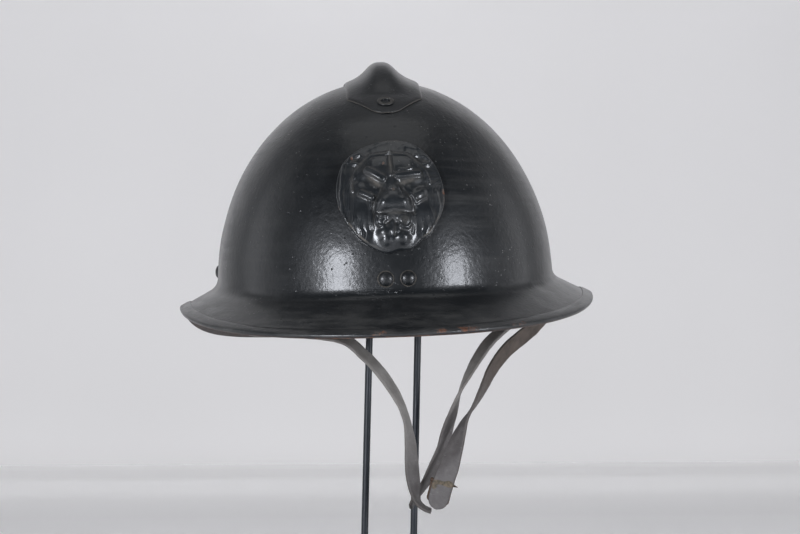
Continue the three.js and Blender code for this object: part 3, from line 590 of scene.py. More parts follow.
# %% Comb
def on_dome(angle, side, lift):
    """Points by an angle from the crown, negative to the front, and a distance to the side."""
    length = np.where(angle < 0, FRONT, REAR)
    lean = np.arcsin(side / HALF_WIDTH)
    level, fore = RISE * np.cos(angle) * np.cos(lean), length * np.sin(angle) * np.cos(lean)
    p = np.stack([side + 0 * angle, fore, level], -1)
    n = unit(p / np.stack([HALF_WIDTH**2 + 0 * length, length**2, RISE**2 + 0 * length], -1))
    return p + n * np.asarray(lift)[..., None]


def comb():
    tip, shoulder = math.radians(COMB_TIP), math.radians(COMB_SHOULDER)
    share = np.linspace(0, 1, 161)
    angle = tip * np.sin((share - 0.5) * math.pi * 0.999)
    a = np.abs(angle)
    narrowing = np.clip((a - shoulder) / (tip - shoulder), 0, 1)
    half = COMB_HALF_WIDTH + (COMB_TIP_HALF - COMB_HALF_WIDTH) * narrowing
    rounding = 0.035
    last = np.clip((a - (tip - rounding)) / rounding, 0, 1)
    half = half * np.sqrt(1 - 0.75 * last**2)
    half = half + 0.15 * waves(np.stack([angle * 100, 0 * angle, 0 * angle], -1), 23, 5)
    across = np.linspace(-1, 1, 73)
    sides = half[:, None] * across[None]
    angles = np.broadcast_to(angle[:, None], sides.shape)
    along = np.minimum(1, a / math.radians(COMB_FOOT))
    crest = (COMB_RISE * (1 - along**3) ** 1.5)[:, None] / (1 + (np.abs(sides) / COMB_RIDGE) ** 3)
    rim = np.abs(across)[None] ** 24 * 0.75
    where = sides + COMB_OFFSET
    top = on_dome(angles, where, GAP + COMB_STEEL + crest - rim)
    under = on_dome(angles, where, GAP * (1 - np.abs(across)[None] ** 24 * 0.8) + crest * 0.985)
    grid = np.concatenate([top, under[:, ::-1]], 1)
    below = np.zeros_like(across)
    wear = np.concatenate([0.14 + 0.238 * np.abs(across) ** 30, below])[None] * np.ones((len(angle), 1))
    dust = np.concatenate([0.75 * np.abs(across) ** 40, below])[None] * smoothstep(a, 0.35, 0.5)[:, None]
    return grid, {"wear": wear, "lining": 0 * wear, "dirt": dust}


def end_middles(grid):
    return [to_row(grid[k].mean(0)) for k in (0, -1)]


comb_grid, values = comb()
comb_mesh = mesh_from_grid("comb_ridge", to_row(comb_grid), poles=end_middles(comb_grid), values=values)
piece(comb_mesh, PAINT, "black_paint", "comb")

# %% [markdown]
# ## Rivets and eyelets
#
# Each rivet and eyelet is a turned shape. The rivets repeat, so Geometry Nodes sets one on each of a few
# points, along the wall's normal there, with a slightly different size for each.


# %% Turned shapes
def turned(profile, spokes):
    angle = np.arange(spokes) / spokes * TURN
    r, h = np.array(profile).T
    return np.stack([r[:, None] * np.cos(angle), r[:, None] * np.sin(angle), h[:, None] + 0 * angle], -1)


def arc(r0, h0, r1, h1, steps):
    """A quarter of an ellipse that leaves (r0, h0) upwards and reaches (r1, h1) flat."""
    a = np.linspace(0, math.pi / 2, steps)
    return list(zip(r1 + (r0 - r1) * np.cos(a), h0 + (h1 - h0) * np.sin(a)))


def wall_seat(angle, level):
    b = FRONT if math.sin(angle) < 0 else REAR
    up = max(level, 0)
    spread = math.sqrt(1 - (up / RISE) ** 2)
    point = np.array([HALF_WIDTH * math.cos(angle) * spread, b * math.sin(angle) * spread, level])
    normal = unit(np.array([math.cos(angle) / HALF_WIDTH, math.sin(angle) / b, up / RISE**2]))
    return point, normal


def pair(angle, level, radius):
    step = RIVET_SPACING / 2 / radius
    return [wall_seat(angle - step, level), wall_seat(angle + step, level)]


SIDE_TURN = math.asin(SIDE_SETBACK / REAR)
WALL_SEATS = pair(VISOR_RIVET_ASIDE / HALF_WIDTH - math.pi / 2, VISOR_RIVET, HALF_WIDTH)
WALL_SEATS += pair(math.pi / 2, NECK_RIVET, HALF_WIDTH)
SIDE_SEATS = pair(SIDE_TURN, SIDE_RIVET, FRONT) + pair(math.pi - SIDE_TURN, SIDE_RIVET, FRONT)


def rivet_mesh(grip):
    """A domed head with a thin ring of dusty paint round its foot, a shank, and a spread tail inside."""
    head, rise, shank, tail = 3.8, 2.3, 1.5, -grip - 0.8
    profile = [(shank * 1.7, tail - 1), (shank * 1.7, tail), (shank, tail), (shank, 0.06)]
    ring = [(head * 1.14, 0.06), (head * 1.13, 0.14), (head * 1.03, GAP + 0.02)]
    dome = arc(head, GAP + 0.15, 0.02, GAP + rise, 12)
    grid = turned(profile + ring + dome, 48) * MM
    ends = [np.array([0, 0, level]) * MM for level in (tail - 1, GAP + rise)]
    dirt = np.zeros(grid.shape[:2])
    dirt[len(profile) : len(profile) + len(ring)] = 0.8
    return mesh_from_grid("rivet", grid, poles=ends, values={"dirt": dirt})


def repeat_nodes():
    """A node group that sets one object on each point, turned to the point's own direction."""
    group = bpy.data.node_groups.new("repeat_on_points", "GeometryNodeTree")
    sockets = (("Geometry", "Geometry"), ("Piece", "Object"), ("Material", "Material"))
    for label, kind in sockets + (("Size spread", "Float"), ("Seed", "Int")):
        group.interface.new_socket(label, in_out="INPUT", socket_type="NodeSocket" + kind)
    group.interface.new_socket("Geometry", in_out="OUTPUT", socket_type="NodeSocketGeometry")
    n = Nodes(group)
    given = n.add("NodeGroupInput").outputs
    shape = n.add("GeometryNodeObjectInfo", {"Object": given["Piece"]})
    direction = n.add("GeometryNodeInputNamedAttribute", {"Name": "direction"}, data_type="FLOAT_VECTOR")
    facing = {"Vector": direction.outputs["Attribute"]}
    turn_to = n.add("FunctionNodeAlignRotationToVector", facing, axis="Z")
    least = n.math("SUBTRACT", 1.0, given["Size spread"])
    size = n.add("FunctionNodeRandomValue", {2: least, 3: 1.0, "Seed": given["Seed"]}, data_type="FLOAT")
    settings = {"Points": given["Geometry"], "Instance": shape.outputs["Geometry"]}
    settings.update({"Rotation": turn_to.outputs["Rotation"], "Scale": size.outputs[1]})
    place = n.add("GeometryNodeInstanceOnPoints", settings)
    real = n.add("GeometryNodeRealizeInstances", {0: place.outputs["Instances"]})
    painted = {"Geometry": real.outputs[0], "Material": given["Material"]}
    n.add("NodeGroupOutput", {0: n.add("GeometryNodeSetMaterial", painted).outputs["Geometry"]})
    return group


REPEAT = repeat_nodes()


def repeated(name, shape, seats, material, spread, seed):
    """A plain mesh of one shape set on every seat."""
    points = bpy.data.meshes.new(name + "_points")
    points.from_pydata(to_row(np.array([p for p, _ in seats])).tolist(), [], [])
    attribute = points.attributes.new("direction", "FLOAT_VECTOR", "POINT")
    turned_normals = np.array([n for _, n in seats]) @ np.array(HELMET)[:3, :3].T
    attribute.data.foreach_set("vector", turned_normals.astype(np.float32).ravel())
    holder, one = add_object(name + "_points", points), add_object(name + "_one", shape)
    modifier = holder.modifiers.new("repeat", "NODES")
    modifier.node_group = REPEAT
    values = {"Piece": one, "Material": material, "Size spread": spread, "Seed": seed}
    for item in REPEAT.interface.items_tree:
        if item.in_out == "INPUT" and item.name in values:
            modifier[item.identifier] = values[item.name]
    bpy.context.view_layer.update()
    evaluated = holder.evaluated_get(bpy.context.evaluated_depsgraph_get())
    mesh = bpy.data.meshes.new_from_object(evaluated)
    mesh.name = name
    for o in (holder, one):
        bpy.data.objects.remove(o)
    mesh.polygons.foreach_set("use_smooth", [True] * len(mesh.polygons))
    return mesh


def rivet_names(*sides):
    return [f"rivet_{side}_{end}" for side in sides for end in "ab"]


wall_rivets = repeated("wall_rivets", rivet_mesh(STEEL), WALL_SEATS, PAINT, 0.03, 4)
piece(wall_rivets, PAINT, "black_paint", *rivet_names("front", "rear"))
side_rivets = repeated("side_rivets", rivet_mesh(STEEL + 2.6), SIDE_SEATS, PAINT, 0.03, 9)
piece(side_rivets, PAINT, "black_paint", *rivet_names("left", "right"))


def placed(grid, point, normal):
    """A grid whose axis is Z, stood on a seat."""
    turn_to = np.array(Vector((0, 0, 1)).rotation_difference(Vector(normal)).to_matrix())
    return grid @ turn_to.T + point


def eyelet_grid():
    bore, barrel, lip, rise = 2.4, 3.0, 4.6, 0.6
    inside, seat = -STEEL - 0.8, COMB_STEEL + 2 * GAP
    profile = [(bore, inside - 0.55), (lip * 0.9, inside - 0.55), (lip * 0.9, inside), (barrel, inside)]
    profile += [(barrel, seat), (lip * 0.98, seat)]
    profile += arc(lip, seat + 0.12, lip * 0.78, seat + rise, 7)
    profile += [(r, h) for r, h in reversed(arc(bore, seat + 0.1, lip * 0.7, seat + rise, 8))]
    return turned(profile, 72)


for name, sign in (("comb_eyelet_front", -1), ("comb_eyelet_rear", 1)):
    angle = np.array(sign * math.radians(EYELET_ANGLE))
    side = np.array(COMB_OFFSET)
    seat = on_dome(angle, side, 0.0)
    normal = unit(on_dome(angle, side, 1.0) - seat)
    grid = placed(eyelet_grid(), seat, normal)
    raised = smoothstep(grid @ normal - seat @ normal, 1.5, 2.0)
    values = {"wear": raised * 0.3, "lining": 0 * raised, "dirt": raised * 0.4}
    mesh = mesh_from_grid(name + "_ring", to_row(grid), wrap_rows=True, values=values)
    piece(mesh, PAINT, "black_paint", name)

# %% [markdown]
# ## The badge
#
# The lion's head is a height over the round plate. `MOUNDS` are swellings and hollows, and `STROKES` are
# ridges and grooves along short lines. All places are shares of the badge's half width and half height, and
# heights are millimetres. The outline is a radius at each of a few angles. Dust lies in the hollows, a pale
# line painted along two stretches of the lower rim stands in for a highlight, and a few spots are down to
# rust.


# %% Badge
def mound(u, v, cu, cv, wide, tall, lean, rise, power=1.0):
    c, s = math.cos(math.radians(lean)), math.sin(math.radians(lean))
    along = ((u - cu) * c + (v - cv) * s) / wide
    across = ((v - cv) * c - (u - cu) * s) / tall
    return rise * np.exp(-((along**2 + across**2) ** power))


def stroke(u, v, points, width, rise, power=1.0):
    """A ridge along a line through a few points, with round ends."""
    p = np.array(points)
    nearest = np.full(u.shape, 9.0)
    for (u0, v0), (u1, v1) in zip(p[:-1], p[1:]):
        du, dv = u1 - u0, v1 - v0
        t = np.clip(((u - u0) * du + (v - v0) * dv) / (du * du + dv * dv), 0, 1)
        nearest = np.minimum(nearest, np.hypot(u - u0 - t * du, v - v0 - t * dv))
    return rise * np.exp(-((nearest / width) ** (2 * power)))


# u, v, wide, tall, lean, rise, power
MOUNDS = [
    (0.02, 0.26, 0.62, 0.52, 0, 1.3, 3.0),
    (0.03, -0.42, 0.37, 0.46, 0, 1.5, 3.0),
    (0.03, 0.16, 0.13, 0.30, 0, 0.9, 1.3),
    (0.03, -0.09, 0.27, 0.18, 0, 2.1, 1.7),
    (-0.17, -0.13, 0.10, 0.10, 0, 1.1, 1.3),
    (0.23, -0.13, 0.10, 0.10, 0, 1.1, 1.3),
    (-0.22, 0.54, 0.17, 0.15, -8, 0.8, 1.8),
    (0.29, 0.53, 0.20, 0.15, 4, 0.8, 1.8),
    (-0.48, 0.29, 0.11, 0.09, -30, -1.1, 1.0),
    (0.49, 0.20, 0.15, 0.08, 15, -1.1, 1.0),
    (-0.25, 0.21, 0.11, 0.06, -40, -0.8, 1.0),
    (0.27, 0.21, 0.12, 0.06, 25, -0.8, 1.0),
    (0.51, 0.04, 0.13, 0.08, 35, 1.3, 1.8),
    (-0.19, -0.41, 0.09, 0.12, 8, 1.1, 2.0),
    (0.21, -0.42, 0.11, 0.13, -8, 1.2, 2.0),
    (0.02, -0.70, 0.31, 0.19, 0, 0.45, 2.0),
    (-0.14, -0.60, 0.11, 0.08, 18, 0.9, 1.5),
    (-0.13, -0.76, 0.10, 0.08, 30, 0.9, 1.5),
    (0.17, -0.73, 0.12, 0.10, -25, 1.2, 1.5),
    (-0.59, 0.70, 0.10, 0.05, 15, -0.8, 1.2),
    (0.56, 0.67, 0.11, 0.05, -20, -0.8, 1.2),
    (-0.62, 0.62, 0.09, 0.045, -15, 1.1, 1.4),
    (0.69, 0.58, 0.08, 0.045, 10, 1.1, 1.4),
    (-0.56, -0.50, 0.20, 0.36, -14, 1.0, 3.0),
    (0.60, -0.46, 0.20, 0.38, 18, 1.0, 3.0),
]
# points, width, rise, power
STROKES = [
    (
        [(-0.69, 0.16), (-0.67, 0.33), (-0.60, 0.50), (-0.45, 0.65), (-0.32, 0.73), (0.0, 0.74)],
        0.035, 0.8, 1.3,
    ),
    ([(0.0, 0.74), (0.33, 0.72), (0.48, 0.61), (0.63, 0.44), (0.70, 0.25)], 0.035, 0.8, 1.3),
    ([(0.0, 0.74), (0.015, 0.36)], 0.045, 0.9, 1.3),
    ([(-0.40, 0.46), (-0.145, 0.30)], 0.058, 1.5, 2.6),
    ([(0.12, 0.335), (0.31, 0.355), (0.51, 0.385)], 0.048, 1.5, 2.6),
    ([(0.17, 0.44), (0.27, 0.43), (0.38, 0.46)], 0.022, 0.5, 1.2),
    ([(-0.53, 0.085), (-0.34, -0.015)], 0.050, 1.6, 2.6),
    ([(0.35, 0.02), (0.436, -0.12), (0.61, -0.016)], 0.024, 0.9, 1.3),
    ([(-0.10, 0.27), (-0.23, 0.03), (-0.33, -0.22)], 0.055, -0.9, 1.2),
    ([(0.17, 0.22), (0.31, -0.02), (0.39, -0.22)], 0.055, -0.9, 1.2),
    ([(-0.29, -0.29), (0.03, -0.24), (0.38, -0.28)], 0.040, -0.8, 1.2),
    ([(-0.29, -0.28), (-0.28, -0.47), (-0.23, -0.51)], 0.024, 0.8, 1.3),
    ([(-0.28, -0.30), (-0.20, -0.35), (-0.12, -0.34)], 0.024, 0.8, 1.3),
    ([(0.10, -0.47), (0.18, -0.54), (0.26, -0.55), (0.33, -0.47), (0.33, -0.32)], 0.026, 0.9, 1.3),
    ([(0.37, -0.36), (0.37, -0.50), (0.35, -0.64)], 0.024, 0.7, 1.3),
    ([(-0.125, -0.46), (0.0, -0.385), (0.10, -0.47)], 0.034, -0.9, 1.2),
    ([(0.025, -0.47), (0.025, -0.66)], 0.036, -0.7, 1.2),
    ([(0.09, -0.60), (0.11, -0.50)], 0.026, 0.6, 1.3),
    ([(-0.39, -0.06), (-0.38, -0.30), (-0.37, -0.55)], 0.026, 0.5, 1.2),
    ([(-0.75, 0.67), (-0.69, 0.755), (-0.52, 0.78), (-0.45, 0.715)], 0.028, 0.6, 1.3),
    ([(0.48, 0.725), (0.65, 0.735), (0.76, 0.63)], 0.028, 0.6, 1.3),
    ([(-0.82, 0.65), (-0.87, 0.42), (-0.90, 0.10), (-0.88, -0.22), (-0.80, -0.43)], 0.026, 0.6, 1.3),
    ([(0.155, 0.85), (0.31, 0.89), (0.52, 0.86)], 0.030, 0.22, 1.0),
    ([(-0.38, 0.84), (-0.17, 0.92), (-0.02, 0.95)], 0.030, 0.22, 1.0),
    ([(0.015, 0.98), (0.025, 0.76)], 0.030, 0.22, 1.0),
    ([(0.82, 0.10), (0.86, -0.15), (0.80, -0.42), (0.62, -0.70)], 0.028, 0.5, 1.3),
]
# Dust that has stayed in the hollows and along the ridges: u, v, wide, tall, lean, amount
DUST = [
    (-0.28, 0.26, 0.13, 0.045, -38, 0.95),
    (0.31, 0.255, 0.17, 0.035, 14, 0.85),
    (0.01, 0.55, 0.035, 0.20, 0, 0.45),
    (-0.50, 0.60, 0.16, 0.035, 42, 0.35),
    (0.45, 0.63, 0.18, 0.035, -38, 0.35),
    (0.0, 0.74, 0.30, 0.025, 0, 0.30),
    (0.22, -0.41, 0.08, 0.08, 0, 0.35),
    (0.08, -0.29, 0.22, 0.035, 0, 0.35),
    (-0.68, 0.25, 0.03, 0.20, 0, 0.30),
    (0.98, -0.12, 0.04, 0.20, 0, 0.60),
    (0.02, 1.0, 0.5, 0.03, 0, 0.35),
]
# Spots down to rust: u, v, size
RUST_SPOTS = [
    (-0.11, 0.56, 0.05), (0.03, 0.08, 0.05), (-0.68, 0.73, 0.045), (0.97, 0.12, 0.08), (0.99, -0.08, 0.09),
    (0.97, -0.25, 0.07), (-0.98, -0.12, 0.07),
]
# degrees round from the right, radius
OUTLINE = [
    (-5, 0.996), (15, 0.993), (35, 1.018), (56, 1.050), (71, 1.040), (90, 1.0), (108, 0.987),
    (129, 1.040), (142, 1.075), (154, 1.050), (165, 1.025), (181, 1.0), (200, 0.970), (217, 0.954),
    (225, 0.965), (241, 0.980), (250, 0.987), (263, 1.012), (276, 0.965), (284, 0.990), (292, 0.994),
    (301, 0.953), (312, 0.985), (323, 0.968), (338, 0.982),
]
# Where the rim begins to turn down, as a share of the radius, and its height at the edge
BRINK, RIM_HEIGHT = 0.958, 0.15


def lion_relief(u, v):
    radius = np.hypot(u, v)
    height = 2.0 + 1.3 * (1 - radius**2)
    for values in MOUNDS:
        height = height + mound(u, v, *values)
    for values in STROKES:
        height = height + stroke(u, v, *values)
    angle = np.arctan2(v, u)
    space = np.stack([u, v, 0 * u], -1)
    warp = waves(space, 0.9, 12) * 0.08 + waves(space, 0.3, 13) * 0.02
    top = smoothstep(v, 0.15, 0.6)
    phase = top * angle * 15 + (1 - top) * (np.abs(u) + warp + 0.12 * v * np.abs(u)) * 40
    mane = smoothstep(radius, 0.60, 0.74) * (1 - smoothstep(radius, 0.93, 0.99))
    beside = np.clip(smoothstep(np.abs(u) - 0.42, 0, 0.1) + smoothstep(v, 0.72, 0.8), 0, 1)
    strands = np.sin(phase + 9 * warp) * 0.14 + np.sin(phase * 3.1 + 5 * warp) * 0.055
    return height + mane * beside * strands


def badge_outline(angle):
    degrees, radii = np.array(OUTLINE).T
    degrees = np.concatenate([degrees - 360, degrees, degrees + 360])
    radius = np.interp(np.degrees(angle), degrees, np.tile(radii, 3))
    kernel = np.hanning(15) / np.hanning(15).sum()
    return np.convolve(np.tile(radius, 3), kernel, "same")[len(angle) : 2 * len(angle)]


def badge_dust_and_highlight(u, v, height, share, degrees):
    """Dust in the hollows and in the listed places, and a pale painted highlight along two stretches of the
    rim.
    """
    reach = 0.045
    around = np.arange(8) / 8 * TURN
    nearby = sum(lion_relief(u + reach * math.cos(a), v + reach * math.sin(a)) for a in around) / 8
    dust = smoothstep(nearby - height, 0.02, 0.45) * 0.18
    for values in DUST:
        dust = np.maximum(dust, mound(u, v, *values))
    # Two stretches of the lower rim get a pale tan line, a painted highlight on the rim's bevel.
    painted_rim_highlight = np.exp(-(((degrees - 229) / 22) ** 4)) + 0.8 * np.exp(-(((degrees - 320) / 20) ** 4))
    painted_rim_highlight = painted_rim_highlight * np.exp(-(((share - 0.952) / 0.013) ** 2))
    return np.maximum(dust, 1.35 * painted_rim_highlight * (0.6 + 0.4 * np.cos(degrees / 3.1)))


def badge():
    rings, spokes = 128, 480
    share = np.linspace(1 / rings, 1, rings)[:, None]
    angle = np.arange(spokes) / spokes * TURN
    radius = share * badge_outline(angle)[None]
    u, v = radius * np.cos(angle), radius * np.sin(angle)
    # The relief is read a little higher up, so its features sit lower on the curved plate.
    lifted = v + 0.055 * (1 - v**2) + 0.054 * (1 - 0.7 * (u**2 + v**2))
    height = lion_relief(u, lifted)
    # These values hold the badge's dust and its painted rim highlight.
    dust = badge_dust_and_highlight(u, lifted, height, share, np.degrees(angle)[None])
    rust = np.zeros_like(u)
    for cu, cv, size in RUST_SPOTS:
        rust = np.maximum(rust, mound(u, lifted, cu, cv, size, size * 1.2, 0, 0.62))
    turned_down = np.clip((share - BRINK) / (1 - BRINK), 0, 1)
    height = RIM_HEIGHT + (height - RIM_HEIGHT) * np.sqrt(1 - turned_down**2 * 0.995)

    middle_angle = -math.radians(BADGE_ANGLE)
    places = middle_angle + v * BADGE_HALF_HEIGHT / RISE
    front = on_dome(places, u * BADGE_HALF_WIDTH, GAP + height)
    back_rows = [rings - 1, rings * 3 // 4, rings // 2, rings // 4, 0]
    flat = np.zeros((len(back_rows), spokes))
    back = on_dome(places[back_rows], u[back_rows] * BADGE_HALF_WIDTH, GAP + flat)
    middle = np.zeros(1)
    heights = (lion_relief(middle, middle), middle)
    poles = [to_row(on_dome(middle_angle + middle, middle, GAP + height)[0]) for height in heights]
    values = {"wear": rust, "lining": 0 * u, "dirt": dust}
    values = {name: np.concatenate([value, flat]) for name, value in values.items()}
    return mesh_from_grid("lion_badge", to_row(np.concatenate([front, back])), poles=poles, values=values)


piece(badge(), BADGE_PAINT, "black_paint", "badge")

# %% [markdown]
# ## The chin strap
#
# Each piece of the strap is a flat band through the same places as its solid. A row says how far across,
# down and forward it lies, and how far its width is turned out of the fore-and-aft direction. It starts at a
# bracket inside the helmet's side. The right-hand piece runs over its bracket's bar and back, so it hangs
# there as two bands.


# %% Strap places
BRACKET = {"bar": -10.5, "bar_high": 3.0, "steel": 2.0, "half": 10.0}
STRAP = {"width": 12.0, "leather": 1.8, "drop": 120.0, "forward": 32.0, "slack": 0.4}
SEAT_POINT, SEAT_NORMAL = wall_seat(SIDE_TURN, 0)
SEAT_FACE = -STEEL - GAP - BRACKET["half"] ** 2 / REAR**2 * HALF_WIDTH
SEAT_ANGLE = math.atan2(SEAT_NORMAL[1], SEAT_NORMAL[0])
SEAT_MIDDLE = SEAT_POINT[0] + SEAT_FACE - BRACKET["steel"] / 2

# across, down, forward, twist
LEFT_ROWS = [
    (-1.04, 0.05, 0.02, 90),
    (-1, 0.09, 0.05, 88),
    (-0.86, 0.135, 0.2, 80),
    (-0.62, 0.145, 0.4, 70),
    (-0.271, 0.187, 0.62, 63),
    (-0.159, 0.258, 0.7, 63),
    (-0.065, 0.337, 0.77, 62),
    (0.022, 0.438, 0.83, 65),
    (0.075, 0.527, 0.88, 73),
    (0.097, 0.591, 0.905, 73),
    (0.109, 0.674, 0.925, 60),
    (0.111, 0.753, 0.94, 53),
    (0.115, 0.827, 0.95, 51),
    (0.121, 0.873, 0.952, 54),
    (0.129, 0.915, 0.955, 64),
    (0.144, 0.957, 0.96, 78),
    (0.177, 0.98, 0.97, 84),
    (0.219, 0.995, 0.975, 85),
]
OUTER_ROWS = [
    (1.05, 0.06, 0.02, 90),
    (1.03, 0.11, 0.05, 110),
    (0.952, 0.159, 0.15, 128),
    (0.854, 0.209, 0.28, 133),
    (0.75, 0.267, 0.43, 130),
    (0.65, 0.352, 0.61, 123),
    (0.574, 0.448, 0.76, 112),
    (0.505, 0.529, 0.87, 99),
    (0.45, 0.588, 0.92, 84),
    (0.399, 0.673, 0.985, 57),
    (0.345, 0.787, 1.03, 33),
    (0.319, 0.832, 1.045, 20),
    (0.296, 0.877, 1.055, 18),
    (0.27, 0.931, 1.06, 17),
    (0.244, 0.986, 1.06, 17),
]
INNER_ROWS = [
    (0.95, 0.06, 0.02, 90),
    (0.87, 0.11, 0.05, 96),
    (0.757, 0.159, 0.14, 108),
    (0.653, 0.219, 0.27, 113),
    (0.564, 0.3, 0.42, 110),
    (0.483, 0.395, 0.56, 98),
    (0.434, 0.463, 0.63, 84),
    (0.396, 0.537, 0.66, 68),
    (0.348, 0.629, 0.68, 58),
    (0.31, 0.721, 0.67, 56),
    (0.26, 0.795, 0.62, 58),
    (0.228, 0.842, 0.57, 62),
    (0.195, 0.883, 0.52, 66),
    (0.165, 0.914, 0.48, 70),
    (0.141, 0.938, 0.46, 73),
    (0.12, 0.962, 0.46, 76),
    (0.103, 0.985, 0.48, 78),
]
AFT = np.array([0.0, 1.0, 0.0])


def strap_places(rows):
    """Point, fore-and-aft direction and twist for each row."""
    places = []
    for across, down, forward, twist in rows:
        x, y = across * SEAT_MIDDLE, SEAT_POINT[1] - forward * STRAP["forward"]
        places.append((np.array([x, y, BRACKET["bar"] - down * STRAP["drop"]]), AFT, twist))
    return places


def over_bar(side):
    """The turn of the strap over a bracket's bar, from outside it to inside it."""
    sill = BRACKET["bar"] + BRACKET["bar_high"] / 2
    radius = BRACKET["steel"] / 2 + STRAP["slack"] + STRAP["leather"] / 2
    angle = SEAT_ANGLE if side > 0 else math.pi - SEAT_ANGLE
    out = np.array([math.cos(angle), math.sin(angle), 0])
    origin = np.array([side * SEAT_POINT[0], SEAT_POINT[1], 0])
    aft = np.array([-math.sin(angle), math.cos(angle), 0]) * side
    places = []
    for share in (-1.6, -0.7, 0, 0.25, 0.5, 0.75, 1, 1.7, 2.6):
        turn_over = min(max(share, 0), 1) * math.pi
        below = max(-share, share - 1, 0) * BRACKET["bar_high"]
        reach = SEAT_FACE - BRACKET["steel"] / 2 + radius * math.cos(turn_over)
        level = sill - 0.2 + radius * math.sin(turn_over) - below
        places.append((origin + out * reach + np.array([0, 0, level]), aft, 90))
    return places


def band_frames(places, steps):
    """Points, directions, widths and faces along a strap that passes through its places."""
    p = np.array([place[0] for place in places])
    aft = np.array([place[1] for place in places])
    twist = np.array([place[2] for place in places], float)
    full = np.vstack([2 * p[0] - p[1], p, 2 * p[-1] - p[-2]])
    knots = np.concatenate([[0], np.cumsum(np.linalg.norm(np.diff(full, axis=0), axis=1) ** 0.5)])
    at = np.linspace(0, len(p) - 1, len(p) * 40)
    at[-1] -= 1e-9
    k = at.astype(int) + 1
    t = knots[k] + (knots[k + 1] - knots[k]) * (at - (k - 1))

    def blend(a, b, ta, tb):
        return ((tb - t) / (tb - ta))[:, None] * a + ((t - ta) / (tb - ta))[:, None] * b

    t0, t1, t2, t3 = (knots[k + i] for i in (-1, 0, 1, 2))
    p0, p1, p2, p3 = (full[k + i] for i in (-1, 0, 1, 2))
    a1, a2, a3 = blend(p0, p1, t0, t1), blend(p1, p2, t1, t2), blend(p2, p3, t2, t3)
    b1, b2 = blend(a1, a2, t0, t2), blend(a2, a3, t1, t3)
    curve = blend(b1, b2, t1, t2)
    length = np.concatenate([[0], np.cumsum(np.linalg.norm(np.diff(curve, axis=0), axis=1))])
    even = np.linspace(0, length[-1], steps)
    where = np.interp(even, length, at)
    point = np.stack([np.interp(even, length, curve[:, i]) for i in range(3)], -1)
    index = np.arange(len(p))
    aft = unit(np.stack([np.interp(where, index, aft[:, i]) for i in range(3)], -1))
    kernel = np.hanning(21) / np.hanning(21).sum()
    turned_by = np.interp(where, index, twist)
    turned_by = np.convolve(np.pad(turned_by, 10, "edge"), kernel, "valid")
    along = unit(np.gradient(point, axis=0))
    flat = unit(np.cross(along, aft))
    deep = unit(np.cross(flat, along))
    a = np.radians(turned_by)[:, None]
    width = flat * np.cos(a) + deep * np.sin(a)
    face = unit(np.cross(along, width))
    return {"point": point, "along": along, "width": width, "face": face, "length": even}


def between(length, marks):
    """A value that is 1 on a stretch of the band, with a soft start and end, and 0 elsewhere."""
    if marks is None:
        return 0 * length
    return smoothstep(length, *marks[:2]) * (1 - smoothstep(length, *marks[2:]))


def band_mesh(name, frames, half_width, seed, painted_light, stains=(), browned=None):
    """A leather band with rounded edges, slightly creased."""
    half = STRAP["leather"] / 2
    s = np.sin(np.linspace(-1, 1, 13) * math.pi / 2 * 0.93)
    edge = np.linspace(math.pi / 2, -math.pi / 2, 7)[1:-1]
    top = [(x, 1.0, 0.0, 0.0) for x in s]
    right = [(1, math.sin(e), math.cos(e) * 0.5, 1.0) for e in edge]
    under = [(x, -1.0, 0.0, 0.0) for x in s[::-1]]
    left = [(-1, -math.sin(e), math.cos(e) * 0.5, 1.0) for e in edge]
    across, through, bulge, is_edge = np.array(top + right + under + left).T
    length = frames["length"]
    ripple = 1 + 0.018 * waves(np.stack([length, 0 * length, 0 * length], -1), 19, seed)
    w = half_width(length / length[-1]) * ripple
    inset = across[None] * (w[:, None] - 0.45) + np.sign(across)[None] * bulge[None] * 0.9
    every = 0 * inset
    body = np.stack([inset, length[:, None] + every, every], -1)
    crease = 0.10 * waves(body * np.array([0.4, 1, 1]), 7.5, seed + 1)
    lift = half * (1 - 0.12 * np.abs(across) ** 6)[None] * through[None] + crease
    sideways = frames["width"][:, None] * inset[..., None]
    grid = frames["point"][:, None] + sideways + frames["face"][:, None] * lift[..., None]
    uv = np.stack([(across[None] * 6 + 10) * MM + every, body[..., 1] * MM], -1)
    stain = every
    for x, y, wide, tall in stains:
        stain = stain + np.exp(-((((inset - x) / wide) ** 2 + ((body[..., 1] - y) / tall) ** 2) ** 2))
    values = {
        "edge": is_edge[None] + every,
        "flesh": (through < 0)[None] + every,
        "brown": between(length, browned)[:, None] + every,
        "pale": between(length, painted_light)[:, None] + every,
        "stain": stain,
    }
    print(name, "length", round(float(length[-1])), "mm")
    return mesh_from_grid(name, to_row(grid), poles=end_middles(grid), uv=uv, values=values)


left_frames = band_frames(over_bar(-1)[::-1] + strap_places(LEFT_ROWS), 300)
right_places = strap_places(OUTER_ROWS[::-1]) + over_bar(1) + strap_places(INNER_ROWS)
right_frames = band_frames(right_places, 420)
TONGUE_END = 0.022
# Across from the middle, along from the tongue's end, and the half sizes.
STAINS = ((0.0, 14.8, 6.4, 1.3), (4.3, 12.2, 1.9, 2.2), (-3.5, 15.6, 2.6, 1.8))
# Lengths where each tone starts, is full, begins to fade and ends.
# The pale stretches on both bands are painted light over leather that lies in the brim's shade.
LEFT_PAINTED_LIGHT = (10.0, 20.0, 140.0, 195.0)
RIGHT_BROWN, RIGHT_PAINTED_LIGHT = (62.0, 95.0, 128.0, 150.0), (165.0, 175.0, 235.0, 262.0)


def even_width(share):
    return np.full_like(share, STRAP["width"] / 2)


def tongue_width(share):
    back = np.clip(1 - share / TONGUE_END, 0, 1)
    return STRAP["width"] / 2 * np.sqrt(1 - back**2 * 0.985)


